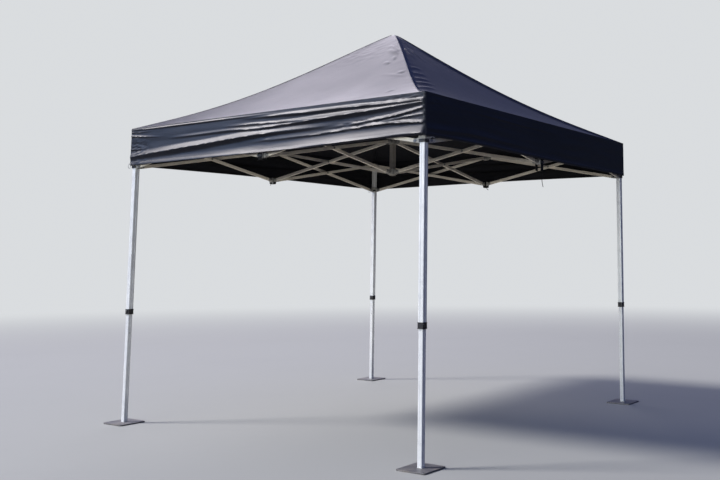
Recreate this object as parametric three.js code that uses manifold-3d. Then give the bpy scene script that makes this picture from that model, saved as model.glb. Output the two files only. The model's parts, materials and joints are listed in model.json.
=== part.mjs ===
// Folding canopy tent, 3 m by 3 m: four telescoping legs, a scissor frame of flat bars between
// them, four scissor arms to a hub in the middle, a mast, a pyramid roof and four valances.
// Units are millimetres, +Z is up, and the origin is on the ground under the mast.
// The front is the side at -Y. The frame is shown fully open.
import * as THREE from "three";
import { mergeVertices } from "three/addons/utils/BufferGeometryUtils.js";
import Module from "manifold-3d";

const wasm = await Module();
wasm.setup();

// Overall size
const legSpacing = 2920;
const legAt = legSpacing / 2;
const eaveAt = 1497;
const eaveZ = 2322;
const peakZ = 3225;
const valanceDrop = 297;
const fabricThickness = 6;
const roofSag = 0.1;
const roofSagLean = 1.35;
const roofRings = 12;
const touchGap = 0.3;
const joinDepth = 1;

// Scissor frame: pivot heights, pivot distances from the middle of each bracket, and bars
const upperPivotZ = 2280;
const lowerPivotZ = 2017;
const legPivotAt = 55;
const midPivotAt = 40;
const hubPivotAt = 55;
const barDepth = 26;
const barThickness = 13;
const laneOffset = 6.8;
const pinRadius = 4;
const pinHoleRadius = 4.6;
const pinHeadRadius = 8;
const pinHeadThickness = 2.4;
const roundSides = 8;

// Brackets
const earThickness = 4;
const earRadius = 12;
const earGap = 0.5;
const midBlockHalf = 20;
const hubBlockHalf = 30;
const blockHalfHeight = 22;

// Legs
const outerTubeSide = 40;
const outerTubeBore = 36;
const innerTubeSide = 34;
const innerTubeBore = 30;
const tubeChamfer = 2.5;
const legTopZ = 2310;
const legCapThickness = 8;
const legHeadHalf = 24;
const innerTubeTopZ = 1180;
const lockBottomZ = 840;
const lockTopZ = 881;
const lockHalf = 22;
const lockBore = 35;
const sliderHalf = 26;
const sliderBore = 41;
const sliderBelowPivot = 14;
const sliderAbovePivot = 31;
const footPlateSide = 220;
const footPlateThickness = 10;
const footSpigotSide = 29;
const footSpigotHeight = 40;

// Mast: a wide lower tube through both hubs, and a thinner tube from its top collar to the cap
const lowerMastSide = 40;
const lowerMastBore = 36;
const upperMastSide = 32;
const upperMastBore = 28;
const mastBottomZ = 1985;
const mastCollarZ = 2306;
const mastCollarHeight = 10;
const mastCapRadius = 30;
const mastCapBaseZ = 3150;
const upperHubBore = lowerMastSide + 2 * touchGap;
const lowerHubBore = lowerMastSide + 1.6;

// Worked out from the sizes above
const barReach = legAt - legPivotAt - midPivotAt;
const pivotDrop = upperPivotZ - lowerPivotZ;
const barLength = Math.hypot(barReach, pivotDrop);
const barTilt = Math.atan2(pivotDrop, barReach);
const plateTopZ = footPlateThickness + touchGap;
const earInnerY = barThickness / 2 + earGap;
const earOuterY = earInnerY + earThickness;
const crossingHeadY = -2 * laneOffset - earInnerY;

const finishes = {
  bar: new THREE.MeshStandardMaterial({ color: 0x8d877e, roughness: 0.5, metalness: 0.6 }),
  leg: new THREE.MeshStandardMaterial({ color: 0xc9cccb, roughness: 0.42, metalness: 0.7 }),
  bracket: new THREE.MeshStandardMaterial({ color: 0x77736c, roughness: 0.55, metalness: 0.3 }),
  lock: new THREE.MeshStandardMaterial({ color: 0x202124, roughness: 0.5, metalness: 0 }),
  plate: new THREE.MeshStandardMaterial({ color: 0x75777a, roughness: 0.5, metalness: 0.6 }),
  fabric: new THREE.MeshStandardMaterial({ color: 0x15171f, roughness: 0.7, metalness: 0 }),
};

// A closed three.js geometry as a solid that can be joined and cut.
function solidOf(geometry) {
  const plain = geometry.clone();
  plain.deleteAttribute("normal");
  plain.deleteAttribute("uv");
  const merged = mergeVertices(plain, 1e-4);
  return new wasm.Manifold(
    new wasm.Mesh({
      numProp: 3,
      vertProperties: new Float32Array(merged.attributes.position.array),
      triVerts: new Uint32Array(merged.index.array),
    }),
  );
}

function geometryOf(solid) {
  const mesh = solid.getMesh();
  const geometry = new THREE.BufferGeometry();
  geometry.setAttribute("position", new THREE.BufferAttribute(mesh.vertProperties, 3));
  geometry.setIndex(new THREE.BufferAttribute(mesh.triVerts, 1));
  geometry.computeVertexNormals();
  return geometry;
}

function joined(geometries) {
  return geometries.map(solidOf).reduce((whole, piece) => whole.add(piece));
}

function namedMesh(name, geometry, finish) {
  const mesh = new THREE.Mesh(geometry, finish);
  mesh.name = name;
  return mesh;
}

function block(halfX, halfY, lowZ, highZ) {
  return new THREE.BoxGeometry(2 * halfX, 2 * halfY, highZ - lowZ).translate(0, 0, (lowZ + highZ) / 2);
}

// Square tube with chamfered corners, standing on Z from lowZ to highZ.
function squareTube(side, bore, lowZ, highZ) {
  const half = side / 2;
  const flat = half - tubeChamfer;
  const outline = new THREE.Shape([
    new THREE.Vector2(flat, -half),
    new THREE.Vector2(half, -flat),
    new THREE.Vector2(half, flat),
    new THREE.Vector2(flat, half),
    new THREE.Vector2(-flat, half),
    new THREE.Vector2(-half, flat),
    new THREE.Vector2(-half, -flat),
    new THREE.Vector2(-flat, -half),
  ]);
  const inner = bore / 2;
  outline.holes.push(
    new THREE.Path([
      new THREE.Vector2(-inner, -inner),
      new THREE.Vector2(-inner, inner),
      new THREE.Vector2(inner, inner),
      new THREE.Vector2(inner, -inner),
    ]),
  );
  const tube = new THREE.ExtrudeGeometry(outline, { depth: highZ - lowZ, bevelEnabled: false });
  return tube.translate(0, 0, lowZ);
}

// Flat plate in the XZ plane from x = start to a round end about x = reach, between two Y faces.
function roundEndPlate(start, reach, radius, lowY, highY) {
  const outline = new THREE.Shape();
  outline.moveTo(start, -radius);
  outline.lineTo(reach, -radius);
  outline.absarc(reach, 0, radius, -Math.PI / 2, Math.PI / 2, false);
  outline.lineTo(start, radius);
  outline.closePath();
  const plate = new THREE.ExtrudeGeometry(outline, {
    depth: highY - lowY,
    bevelEnabled: false,
    curveSegments: roundSides / 2,
  });
  return plate.rotateX(Math.PI / 2).translate(0, highY, 0);
}

// Round pin along Y at x, between two Y faces.
function pinAcross(x, radius, lowY, highY) {
  const pin = new THREE.CylinderGeometry(radius, radius, highY - lowY, roundSides);
  return pin.translate(x, (lowY + highY) / 2, 0);
}

// Bar along X from its first pivot at 0 to its last at barLength, with round ends.
function flatBar(holesAt) {
  const half = barDepth / 2;
  const outline = new THREE.Shape();
  outline.absarc(barLength, 0, half, -Math.PI / 2, Math.PI / 2, false);
  outline.absarc(0, 0, half, Math.PI / 2, (3 * Math.PI) / 2, false);
  outline.closePath();
  for (const x of holesAt) {
    const hole = new THREE.Path();
    hole.absarc(x, 0, pinHoleRadius, 0, 2 * Math.PI, true);
    outline.holes.push(hole);
  }
  const bar = new THREE.ExtrudeGeometry(outline, {
    depth: barThickness,
    bevelEnabled: false,
    curveSegments: roundSides / 2,
  });
  return bar.rotateX(Math.PI / 2).translate(0, barThickness / 2, 0);
}

// The bar with the crossing pin: the pin runs through the other bar to a head on its far side.
const pinnedBarGeometry = geometryOf(
  joined([
    flatBar([0, barLength]),
    pinAcross(barLength / 2, pinRadius, crossingHeadY, 0),
    pinAcross(barLength / 2, pinHeadRadius, crossingHeadY - pinHeadThickness, crossingHeadY),
  ]),
);
const drilledBarGeometry = geometryOf(solidOf(flatBar([0, barLength / 2, barLength])));

// Two ears and their pin on +X, for the bar that lies at y = lane.
function forkPieces(blockHalf, pivotAt, lane) {
  const root = blockHalf - earThickness;
  const pinEnd = earInnerY + joinDepth;
  return [
    roundEndPlate(root, pivotAt, earRadius, lane - earOuterY, lane - earInnerY),
    roundEndPlate(root, pivotAt, earRadius, lane + earInnerY, lane + earOuterY),
    pinAcross(pivotAt, pinRadius, lane - pinEnd, lane + pinEnd),
  ];
}

// A bracket: a block with forks turned to the given directions, pivots at z = 0.
function bracket(core, blockHalf, pivotAt, forks) {
  const pieces = forks.flatMap(({ turn, lane }) =>
    forkPieces(blockHalf, pivotAt, lane).map((piece) => piece.rotateZ(turn)),
  );
  return pieces.map(solidOf).reduce((whole, piece) => whole.add(piece), core);
}

function midBracketGeometry(lane) {
  const core = solidOf(block(midBlockHalf, midBlockHalf, -blockHalfHeight, blockHalfHeight));
  return geometryOf(
    bracket(core, midBlockHalf, midPivotAt, [
      { turn: 0, lane: lane },
      { turn: Math.PI, lane: -lane },
      { turn: Math.PI / 2, lane: -lane },
    ]),
  );
}

function hubGeometry(lane, bore) {
  const core = solidOf(squareTube(2 * hubBlockHalf, bore, -blockHalfHeight, blockHalfHeight));
  const turns = [0, 1, 2, 3].map((quarter) => (quarter * Math.PI) / 2);
  return geometryOf(bracket(core, hubBlockHalf, hubPivotAt, turns.map((turn) => ({ turn, lane }))));
}

// Corner pieces are made for the front left leg, whose bars leave along +X and +Y.
function cornerForks(lane) {
  return [
    { turn: 0, lane: lane },
    { turn: Math.PI / 2, lane: -lane },
  ];
}

function outerLegGeometry() {
  const tubeTopZ = legTopZ - legCapThickness;
  const boreHalf = outerTubeBore / 2;
  const tube = solidOf(squareTube(outerTubeSide, outerTubeBore, lockTopZ + touchGap, tubeTopZ));
  const head = solidOf(block(legHeadHalf, legHeadHalf, -legHeadHalf, legTopZ - upperPivotZ));
  const bore = solidOf(block(boreHalf, boreHalf, -legHeadHalf - joinDepth, tubeTopZ - upperPivotZ));
  const forked = bracket(head.subtract(bore), legHeadHalf, legPivotAt, cornerForks(laneOffset));
  return geometryOf(forked.subtract(bore).translate([0, 0, upperPivotZ]).add(tube));
}

function sliderGeometry() {
  const core = solidOf(squareTube(2 * sliderHalf, sliderBore, -sliderBelowPivot, sliderAbovePivot));
  return geometryOf(bracket(core, sliderHalf, legPivotAt, cornerForks(-laneOffset)));
}

function footPlateGeometry() {
  const half = footPlateSide / 2;
  const spigot = footSpigotSide / 2;
  return geometryOf(
    joined([
      block(half, half, 0, footPlateThickness),
      block(spigot, spigot, footPlateThickness - joinDepth, footPlateThickness + footSpigotHeight),
    ]),
  );
}

// Height of the underside of the roof at a distance from the mast, measured square to the eaves. It hangs
// below a straight slope by roofSag of the rise, mostly in the lower half.
function roofUnderside(distance) {
  const share = distance / eaveAt;
  const climb = 1 - share - roofSag * Math.sin(Math.PI * share ** roofSagLean);
  return eaveZ + (peakZ - fabricThickness - eaveZ) * climb;
}

// The roof: square rings that climb to the peak with concave hips, as a thin closed shell.
function roofGeometry() {
  const points = [];
  const faces = [];
  const ringSize = 4;
  const layers = [fabricThickness, 0];
  for (const lift of layers) {
    for (let ring = 0; ring < roofRings; ring += 1) {
      const reach = eaveAt * (1 - ring / roofRings);
      const z = roofUnderside(reach) + lift;
      points.push([-reach, -reach, z], [reach, -reach, z], [reach, reach, z], [-reach, reach, z]);
    }
    points.push([0, 0, roofUnderside(0) + lift]);
  }
  const layerSize = roofRings * ringSize + 1;
  const addFace = (a, b, c, flipped) => faces.push(...(flipped ? [a, c, b] : [a, b, c]));
  layers.forEach((lift, layer) => {
    const base = layer * layerSize;
    const flipped = layer === 1;
    for (let ring = 0; ring < roofRings; ring += 1) {
      for (let corner = 0; corner < ringSize; corner += 1) {
        const next = (corner + 1) % ringSize;
        const a = base + ring * ringSize + corner;
        const b = base + ring * ringSize + next;
        if (ring === roofRings - 1) {
          addFace(a, b, base + layerSize - 1, flipped);
        } else {
          addFace(a, b, b + ringSize, flipped);
          addFace(a, b + ringSize, a + ringSize, flipped);
        }
      }
    }
  });
  for (let corner = 0; corner < ringSize; corner += 1) {
    const next = (corner + 1) % ringSize;
    addFace(layerSize + corner, layerSize + next, next, false);
    addFace(layerSize + corner, next, corner, false);
  }
  const geometry = new THREE.BufferGeometry();
  geometry.setAttribute("position", new THREE.Float32BufferAttribute(points.flat(), 3));
  geometry.setIndex(faces);
  geometry.computeVertexNormals();
  return geometry;
}

// The mast with a round cap, whose cone follows the flat facets under the peak.
function mastGeometry() {
  const collarBaseZ = mastCollarZ - mastCollarHeight;
  const lowerTube = squareTube(lowerMastSide, lowerMastBore, mastBottomZ, mastCollarZ);
  const collar = squareTube(lowerMastSide, upperMastBore, collarBaseZ, mastCollarZ);
  const upperBaseZ = mastCollarZ - joinDepth;
  const upperTube = squareTube(upperMastSide, upperMastBore, upperBaseZ, mastCapBaseZ + joinDepth);
  const ringStep = eaveAt / roofRings;
  const peakUnderside = roofUnderside(0);
  const peakSlope = (peakUnderside - roofUnderside(ringStep)) / ringStep;
  const capPoints = [
    new THREE.Vector2(0, mastCapBaseZ),
    new THREE.Vector2(mastCapRadius, mastCapBaseZ),
    new THREE.Vector2(mastCapRadius, peakUnderside - peakSlope * mastCapRadius - touchGap),
    new THREE.Vector2(0, peakUnderside - touchGap),
  ];
  const cap = new THREE.LatheGeometry(capPoints, roundSides * 2).rotateX(Math.PI / 2);
  return geometryOf(joined([lowerTube, collar, upperTube, cap]));
}

function valanceGeometry(halfLength) {
  return block(halfLength, fabricThickness / 2, eaveZ - valanceDrop, eaveZ - touchGap);
}

const tent = new THREE.Group();
const upperMidGeometry = midBracketGeometry(-laneOffset);
const lowerMidGeometry = midBracketGeometry(laneOffset);

// Each side of the tent in its own group, built as the front side and turned about the mast.
const sides = ["front", "right", "back", "left"];
const sideGeometries = {
  long: valanceGeometry(eaveAt),
  short: valanceGeometry(eaveAt - fabricThickness - touchGap),
};
sides.forEach((side, quarter) => {
  const sideGroup = new THREE.Group();
  sideGroup.rotation.z = (quarter * Math.PI) / 2;
  tent.add(sideGroup);

  const addBar = (kind, geometry, parent, x, lane, z, tilt) => {
    const bar = namedMesh(`${side}_${kind}`, geometry, finishes.bar);
    bar.position.set(x, lane, z);
    bar.rotation.y = tilt;
    parent.add(bar);
  };

  const wall = new THREE.Group();
  wall.position.y = -legAt;
  sideGroup.add(wall);
  const farPivot = legAt - legPivotAt;
  addBar("bar_rising_right", pinnedBarGeometry, wall, midPivotAt, laneOffset, lowerPivotZ, -barTilt);
  addBar("bar_falling_right", drilledBarGeometry, wall, midPivotAt, -laneOffset, upperPivotZ, barTilt);
  addBar("bar_rising_left", pinnedBarGeometry, wall, -farPivot, laneOffset, upperPivotZ, barTilt);
  addBar("bar_falling_left", drilledBarGeometry, wall, -farPivot, -laneOffset, lowerPivotZ, -barTilt);

  const arm = new THREE.Group();
  arm.rotation.z = -Math.PI / 2;
  sideGroup.add(arm);
  addBar("arm_upper", pinnedBarGeometry, arm, hubPivotAt, laneOffset, upperPivotZ, barTilt);
  addBar("arm_lower", drilledBarGeometry, arm, hubPivotAt, -laneOffset, lowerPivotZ, -barTilt);

  const upperMid = namedMesh(`${side}_mid_bracket_upper`, upperMidGeometry, finishes.bracket);
  upperMid.position.z = upperPivotZ;
  const lowerMid = namedMesh(`${side}_mid_bracket_lower`, lowerMidGeometry, finishes.bracket);
  lowerMid.position.z = lowerPivotZ;
  wall.add(upperMid, lowerMid);

  const isLong = quarter % 2 === 0;
  const valance = namedMesh(
    `${side}_valance`,
    isLong ? sideGeometries.long : sideGeometries.short,
    finishes.fabric,
  );
  valance.position.y = -eaveAt + fabricThickness / 2;
  sideGroup.add(valance);
});

// Each corner in its own group, built as the front left leg and turned about the mast.
const corners = ["front_left", "front_right", "back_right", "back_left"];
const cornerPieces = [
  ["outer_leg", outerLegGeometry(), finishes.leg, 0],
  ["inner_leg", squareTube(innerTubeSide, innerTubeBore, plateTopZ, innerTubeTopZ), finishes.leg, 0],
  ["leg_slider", sliderGeometry(), finishes.bracket, lowerPivotZ],
  ["leg_lock", squareTube(2 * lockHalf, lockBore, lockBottomZ, lockTopZ), finishes.lock, 0],
  ["foot_plate", footPlateGeometry(), finishes.plate, 0],
];
corners.forEach((corner, quarter) => {
  const turned = new THREE.Group();
  turned.rotation.z = (quarter * Math.PI) / 2;
  tent.add(turned);
  for (const [piece, geometry, finish, z] of cornerPieces) {
    const mesh = namedMesh(`${corner}_${piece}`, geometry, finish);
    mesh.position.set(-legAt, -legAt, z);
    turned.add(mesh);
  }
});

const upperHub = namedMesh("hub_upper", hubGeometry(laneOffset, upperHubBore), finishes.bracket);
upperHub.position.z = upperPivotZ;
const lowerHub = namedMesh("hub_lower", hubGeometry(-laneOffset, lowerHubBore), finishes.bracket);
lowerHub.position.z = lowerPivotZ;
tent.add(
  upperHub,
  lowerHub,
  namedMesh("mast", mastGeometry(), finishes.leg),
  namedMesh("roof", roofGeometry(), finishes.fabric),
);

export default tent;
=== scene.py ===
import json
import math

import bmesh
import bpy
from mathutils import Matrix, Vector, noise

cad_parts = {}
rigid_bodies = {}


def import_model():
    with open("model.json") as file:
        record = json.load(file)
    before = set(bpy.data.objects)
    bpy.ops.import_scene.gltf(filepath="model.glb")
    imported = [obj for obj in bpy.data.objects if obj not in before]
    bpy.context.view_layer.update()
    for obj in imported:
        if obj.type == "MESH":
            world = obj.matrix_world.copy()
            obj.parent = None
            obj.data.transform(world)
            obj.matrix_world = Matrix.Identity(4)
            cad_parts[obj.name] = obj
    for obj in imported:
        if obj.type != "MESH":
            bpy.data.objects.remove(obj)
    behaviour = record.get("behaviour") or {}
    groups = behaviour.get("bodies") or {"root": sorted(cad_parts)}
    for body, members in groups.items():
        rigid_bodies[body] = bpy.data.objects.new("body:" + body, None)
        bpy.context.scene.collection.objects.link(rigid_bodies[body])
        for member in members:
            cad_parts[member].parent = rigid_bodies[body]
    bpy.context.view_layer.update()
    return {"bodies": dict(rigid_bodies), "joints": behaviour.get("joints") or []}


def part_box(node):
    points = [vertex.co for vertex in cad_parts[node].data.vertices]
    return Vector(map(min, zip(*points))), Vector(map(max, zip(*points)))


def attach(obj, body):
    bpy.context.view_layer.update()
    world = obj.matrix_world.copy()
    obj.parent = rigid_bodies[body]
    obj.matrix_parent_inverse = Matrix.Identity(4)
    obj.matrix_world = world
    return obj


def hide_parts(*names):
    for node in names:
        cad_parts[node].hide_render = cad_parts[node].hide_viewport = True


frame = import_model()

# Folding canopy tent, fully open. The front is the side at -Y, and all lengths are metres.
sides = ["front", "right", "back", "left"]
corners = ["front_left", "front_right", "back_right", "back_left"]

# Pivots and edges of the frame
pivots = {joint["name"]: Vector(joint["pos_m"]) for joint in frame["joints"] if "pos_m" in joint}
midPivot = pivots["front_bar_rising_right_fold"]
legPivot = pivots["front_left_leg_level"]
hubReach = -pivots["fold"].y
wallAt = -midPivot.y              # from the mast to the middle of each leg, square to the sides
midReach = midPivot.x
legReach = wallAt + legPivot.x
upperZ = legPivot.z
lowerZ = midPivot.z
barReach = wallAt - legReach - midReach
barLength = math.hypot(barReach, upperZ - lowerZ)
barTilt = math.atan2(upperZ - lowerZ, barReach)
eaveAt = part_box("roof")[1].x
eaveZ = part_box("roof")[0].z
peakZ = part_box("roof")[1].z
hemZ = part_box("front_valance")[0].z
lane = 0.0068                     # crossed bars lie this far to each side of their common plane


# Camera

cameraView = {
    "place": (-5.8218, -4.8138, 1.2656),
    "yaw": 58.121,                # degrees from +Y toward +X
    "pitch": 6.501,
    "roll": -0.122,
    "lens": 43.62,
    "sensor": 36.0,
    "shift": (-0.2083, -0.1111),  # the photograph is an off-centre crop
}


def makeCamera(look):
    yaw, pitch, roll = (math.radians(look[name]) for name in ("yaw", "pitch", "roll"))
    ahead = Vector((math.sin(yaw) * math.cos(pitch), math.cos(yaw) * math.cos(pitch), math.sin(pitch)))
    right = Vector((math.cos(yaw), -math.sin(yaw), 0))
    up = right.cross(ahead)
    rolledRight = right * math.cos(roll) + up * math.sin(roll)
    rolledUp = up * math.cos(roll) - right * math.sin(roll)
    data = bpy.data.cameras.new("photoView")
    data.lens = look["lens"]
    data.sensor_width = look["sensor"]
    data.shift_x, data.shift_y = look["shift"]
    camera = bpy.data.objects.new("photoView", data)
    bpy.context.scene.collection.objects.link(camera)
    turn = Matrix((rolledRight, rolledUp, -ahead)).transposed()
    camera.matrix_world = Matrix.Translation(look["place"]) @ turn.to_4x4()
    bpy.context.scene.camera = camera


makeCamera(cameraView)
print("camera ready")


# Node helpers

def addNode(tree, kind, values=None, **settings):
    node = tree.nodes.new(kind)
    for name, value in settings.items():
        setattr(node, name, value)
    for name, value in (values or {}).items():
        node.inputs[name].default_value = value
    return node


def join(tree, source, output, target, socket):
    tree.links.new(source.outputs[output], target.inputs[socket])


def mathNode(tree, operation, first, second=None):
    node = addNode(tree, "ShaderNodeMath", operation=operation)
    for index, value in enumerate((first, second)):
        if isinstance(value, (int, float)):
            node.inputs[index].default_value = value
        elif value is not None:
            tree.links.new(value, node.inputs[index])
    return node.outputs[0]


def newGroup(name, inputs, outputs):
    tree = bpy.data.node_groups.new(name, "ShaderNodeTree")
    for label, kind, default in inputs:
        socket = tree.interface.new_socket(label, in_out="INPUT", socket_type=kind)
        if default is not None:
            socket.default_value = default
    for label in outputs:
        tree.interface.new_socket(label, in_out="OUTPUT", socket_type="NodeSocketFloat")
    return tree, addNode(tree, "NodeGroupInput"), addNode(tree, "NodeGroupOutput")


vectorSocket = "NodeSocketVector"
floatSocket = "NodeSocketFloat"


# Plain weave of round threads, as a height
def makeWeaveGroup():
    tree, source, result = newGroup(
        "clothWeave",
        [("Coordinates", vectorSocket, None), ("Pitch", floatSocket, 0.0009)],
        ["Height"],
    )
    apart = addNode(tree, "ShaderNodeSeparateXYZ")
    join(tree, source, "Coordinates", apart, "Vector")
    waves = []
    for axis in ("X", "Y"):
        turns = mathNode(tree, "DIVIDE", apart.outputs[axis], source.outputs["Pitch"])
        waves.append(mathNode(tree, "SINE", mathNode(tree, "MULTIPLY", turns, 2 * math.pi)))
    over = mathNode(tree, "MULTIPLY", waves[0], waves[1])
    height = mathNode(tree, "ADD", mathNode(tree, "MULTIPLY", over, 0.5), 0.5)
    tree.links.new(height, result.inputs["Height"])
    return tree


# Patchy dust and rain marks
def makeDustGroup():
    tree, source, result = newGroup(
        "settledDust",
        [
            ("Coordinates", vectorSocket, None),
            ("Scale", floatSocket, 3.0),
            ("Cover", floatSocket, 0.5),
            ("Amount", floatSocket, 0.2),
        ],
        ["Mask"],
    )
    broad = addNode(tree, "ShaderNodeTexNoise", {"Detail": 5.0, "Roughness": 0.62, "Distortion": 0.4})
    join(tree, source, "Coordinates", broad, "Vector")
    join(tree, source, "Scale", broad, "Scale")
    fine = addNode(tree, "ShaderNodeTexNoise", {"Detail": 3.0, "Roughness": 0.7})
    join(tree, source, "Coordinates", fine, "Vector")
    tree.links.new(mathNode(tree, "MULTIPLY", source.outputs["Scale"], 14.0), fine.inputs["Scale"])
    mixed = mathNode(tree, "ADD", broad.outputs["Fac"], mathNode(tree, "MULTIPLY", fine.outputs["Fac"], 0.35))
    low = mathNode(tree, "SUBTRACT", 1.1, source.outputs["Cover"])
    ramp = addNode(tree, "ShaderNodeMapRange", interpolation_type="SMOOTHSTEP")
    tree.links.new(mixed, ramp.inputs["Value"])
    tree.links.new(low, ramp.inputs["From Min"])
    tree.links.new(mathNode(tree, "ADD", low, 0.45), ramp.inputs["From Max"])
    mask = mathNode(tree, "MULTIPLY", ramp.outputs["Result"], source.outputs["Amount"])
    tree.links.new(mask, result.inputs["Mask"])
    return tree


# Rubbed outer edges, broken up by noise
def makeEdgeGroup():
    tree, source, result = newGroup(
        "rubbedEdges",
        [
            ("Coordinates", vectorSocket, None),
            ("Width", floatSocket, 0.0015),
            ("Amount", floatSocket, 0.5),
        ],
        ["Mask"],
    )
    rounded = addNode(tree, "ShaderNodeBevel", samples=4)
    join(tree, source, "Width", rounded, "Radius")
    geometry = addNode(tree, "ShaderNodeNewGeometry")
    facing = addNode(tree, "ShaderNodeVectorMath", operation="DOT_PRODUCT")
    join(tree, rounded, "Normal", facing, 0)
    join(tree, geometry, "Normal", facing, 1)
    away = mathNode(tree, "SUBTRACT", 1.0, facing.outputs["Value"])
    edge = addNode(tree, "ShaderNodeMapRange", {"From Min": 0.01, "From Max": 0.12})
    tree.links.new(away, edge.inputs["Value"])
    patches = addNode(tree, "ShaderNodeTexNoise", {"Scale": 70.0, "Detail": 3.0})
    join(tree, source, "Coordinates", patches, "Vector")
    broken = addNode(tree, "ShaderNodeMapRange", {"From Min": 0.38, "From Max": 0.62})
    join(tree, patches, "Fac", broken, "Value")
    worn = mathNode(tree, "MULTIPLY", edge.outputs["Result"], broken.outputs["Result"])
    mask = mathNode(tree, "MULTIPLY", worn, source.outputs["Amount"])
    tree.links.new(mask, result.inputs["Mask"])
    return tree


# Fine lines drawn out along an extruded or rolled piece
def makeDrawnGroup():
    tree, source, result = newGroup(
        "drawnGrain",
        [("Coordinates", vectorSocket, None), ("Stretch", vectorSocket, (1.0, 1.0, 1.0))],
        ["Height", "Shade"],
    )
    stretched = addNode(tree, "ShaderNodeVectorMath", operation="MULTIPLY")
    join(tree, source, "Coordinates", stretched, 0)
    join(tree, source, "Stretch", stretched, 1)
    lines = addNode(tree, "ShaderNodeTexNoise", {"Scale": 1.0, "Detail": 3.0, "Roughness": 0.6})
    join(tree, stretched, "Vector", lines, "Vector")
    join(tree, lines, "Fac", result, "Height")
    cloudy = addNode(tree, "ShaderNodeTexNoise", {"Scale": 9.0, "Detail": 4.0, "Roughness": 0.6})
    join(tree, source, "Coordinates", cloudy, "Vector")
    shade = mathNode(tree, "MULTIPLY", lines.outputs["Fac"], cloudy.outputs["Fac"])
    tree.links.new(mathNode(tree, "MULTIPLY", shade, 4.0), result.inputs["Shade"])
    return tree


# Pebbled skin of a moulded part
def makeMouldGroup():
    tree, source, result = newGroup(
        "mouldedSkin",
        [("Coordinates", vectorSocket, None), ("Scale", floatSocket, 700.0)],
        ["Height", "Shade"],
    )
    pebbles = addNode(tree, "ShaderNodeTexVoronoi", feature="SMOOTH_F1")
    join(tree, source, "Coordinates", pebbles, "Vector")
    join(tree, source, "Scale", pebbles, "Scale")
    join(tree, pebbles, "Distance", result, "Height")
    flow = addNode(tree, "ShaderNodeTexNoise", {"Scale": 26.0, "Detail": 4.0, "Roughness": 0.55})
    join(tree, source, "Coordinates", flow, "Vector")
    join(tree, flow, "Fac", result, "Shade")
    return tree


groups = {
    "weave": makeWeaveGroup(),
    "dust": makeDustGroup(),
    "edges": makeEdgeGroup(),
    "drawn": makeDrawnGroup(),
    "mould": makeMouldGroup(),
}


# Materials

def startMaterial(name, constants):
    material = bpy.data.materials.new(name)
    material.use_nodes = True
    tree = material.node_tree
    shader = tree.nodes["Principled BSDF"]
    for socket, value in constants.items():
        shader.inputs[socket].default_value = value
    return material, tree, shader


def placeGroup(tree, name, values=None, coordinates=None):
    node = addNode(tree, "ShaderNodeGroup", node_tree=groups[name])
    for socket, value in (values or {}).items():
        node.inputs[socket].default_value = value
    if coordinates is not None:
        tree.links.new(coordinates, node.inputs["Coordinates"])
    return node


def mixColour(tree, share, first, second):
    mix = addNode(tree, "ShaderNodeMix", data_type="RGBA")
    tree.links.new(share, mix.inputs[0])
    for index, value in ((6, first), (7, second)):  # the mix node's two colour sockets
        if isinstance(value, tuple):
            mix.inputs[index].default_value = (*value, 1.0)
        else:
            tree.links.new(value, mix.inputs[index])
    return mix.outputs[2]


def spread(tree, value, low, high, fromMin=0.0, fromMax=1.0):
    ramp = addNode(
        tree,
        "ShaderNodeMapRange",
        {"From Min": fromMin, "From Max": fromMax, "To Min": low, "To Max": high},
    )
    tree.links.new(value, ramp.inputs["Value"])
    return ramp.outputs["Result"]


def addShare(tree, value, mask, share):
    return mathNode(tree, "ADD", value, mathNode(tree, "MULTIPLY", mask, share))


def readAttribute(tree, name, output="Vector"):
    return addNode(tree, "ShaderNodeAttribute", attribute_name=name).outputs[output]


def addBump(tree, height, depth, strength, before=None):
    bump = addNode(tree, "ShaderNodeBump", {"Strength": strength, "Distance": depth})
    tree.links.new(height, bump.inputs["Height"])
    if before is not None:
        tree.links.new(before, bump.inputs["Normal"])
    return bump.outputs["Normal"]


fabricLook = {
    "cloth": (0.0036, 0.0046, 0.0095),
    "faded": (0.0060, 0.0072, 0.0135),
    "dustColour": (0.075, 0.082, 0.100),
    "threadColour": (0.03, 0.03, 0.036),
    "underside": (0.0035, 0.004, 0.0055),
    "shader": {"Specular IOR Level": 0.75, "Sheen Weight": 0.02, "Sheen Roughness": 0.4},
    "patches": {"Scale": 1.7, "Detail": 6.0, "Roughness": 0.6},
    "dust": {"Scale": 2.6, "Cover": 0.5, "Amount": 0.08},
    "crumples": {"Scale": 22.0, "Detail": 5.0, "Roughness": 0.55, "Distortion": 0.8},
    "crumpleDepth": 0.0009,
    "threadPitch": 0.0011,
    "threadDepth": 0.00012,
    "stitchAt": 0.006,            # from a seam to the middle of its stitches
    "stitchHalf": 0.0008,         # half the width of a stitch
    "stitchPitch": 0.0045,
    "stitchGap": 0.35,            # share of the pitch between two stitches
    "stitchDepth": 0.0006,
    "roughness": (0.41, 0.47),
    "dustRough": 0.6,             # roughness that full dust and the underside add
    "undersideRough": 0.35,
}


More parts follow.
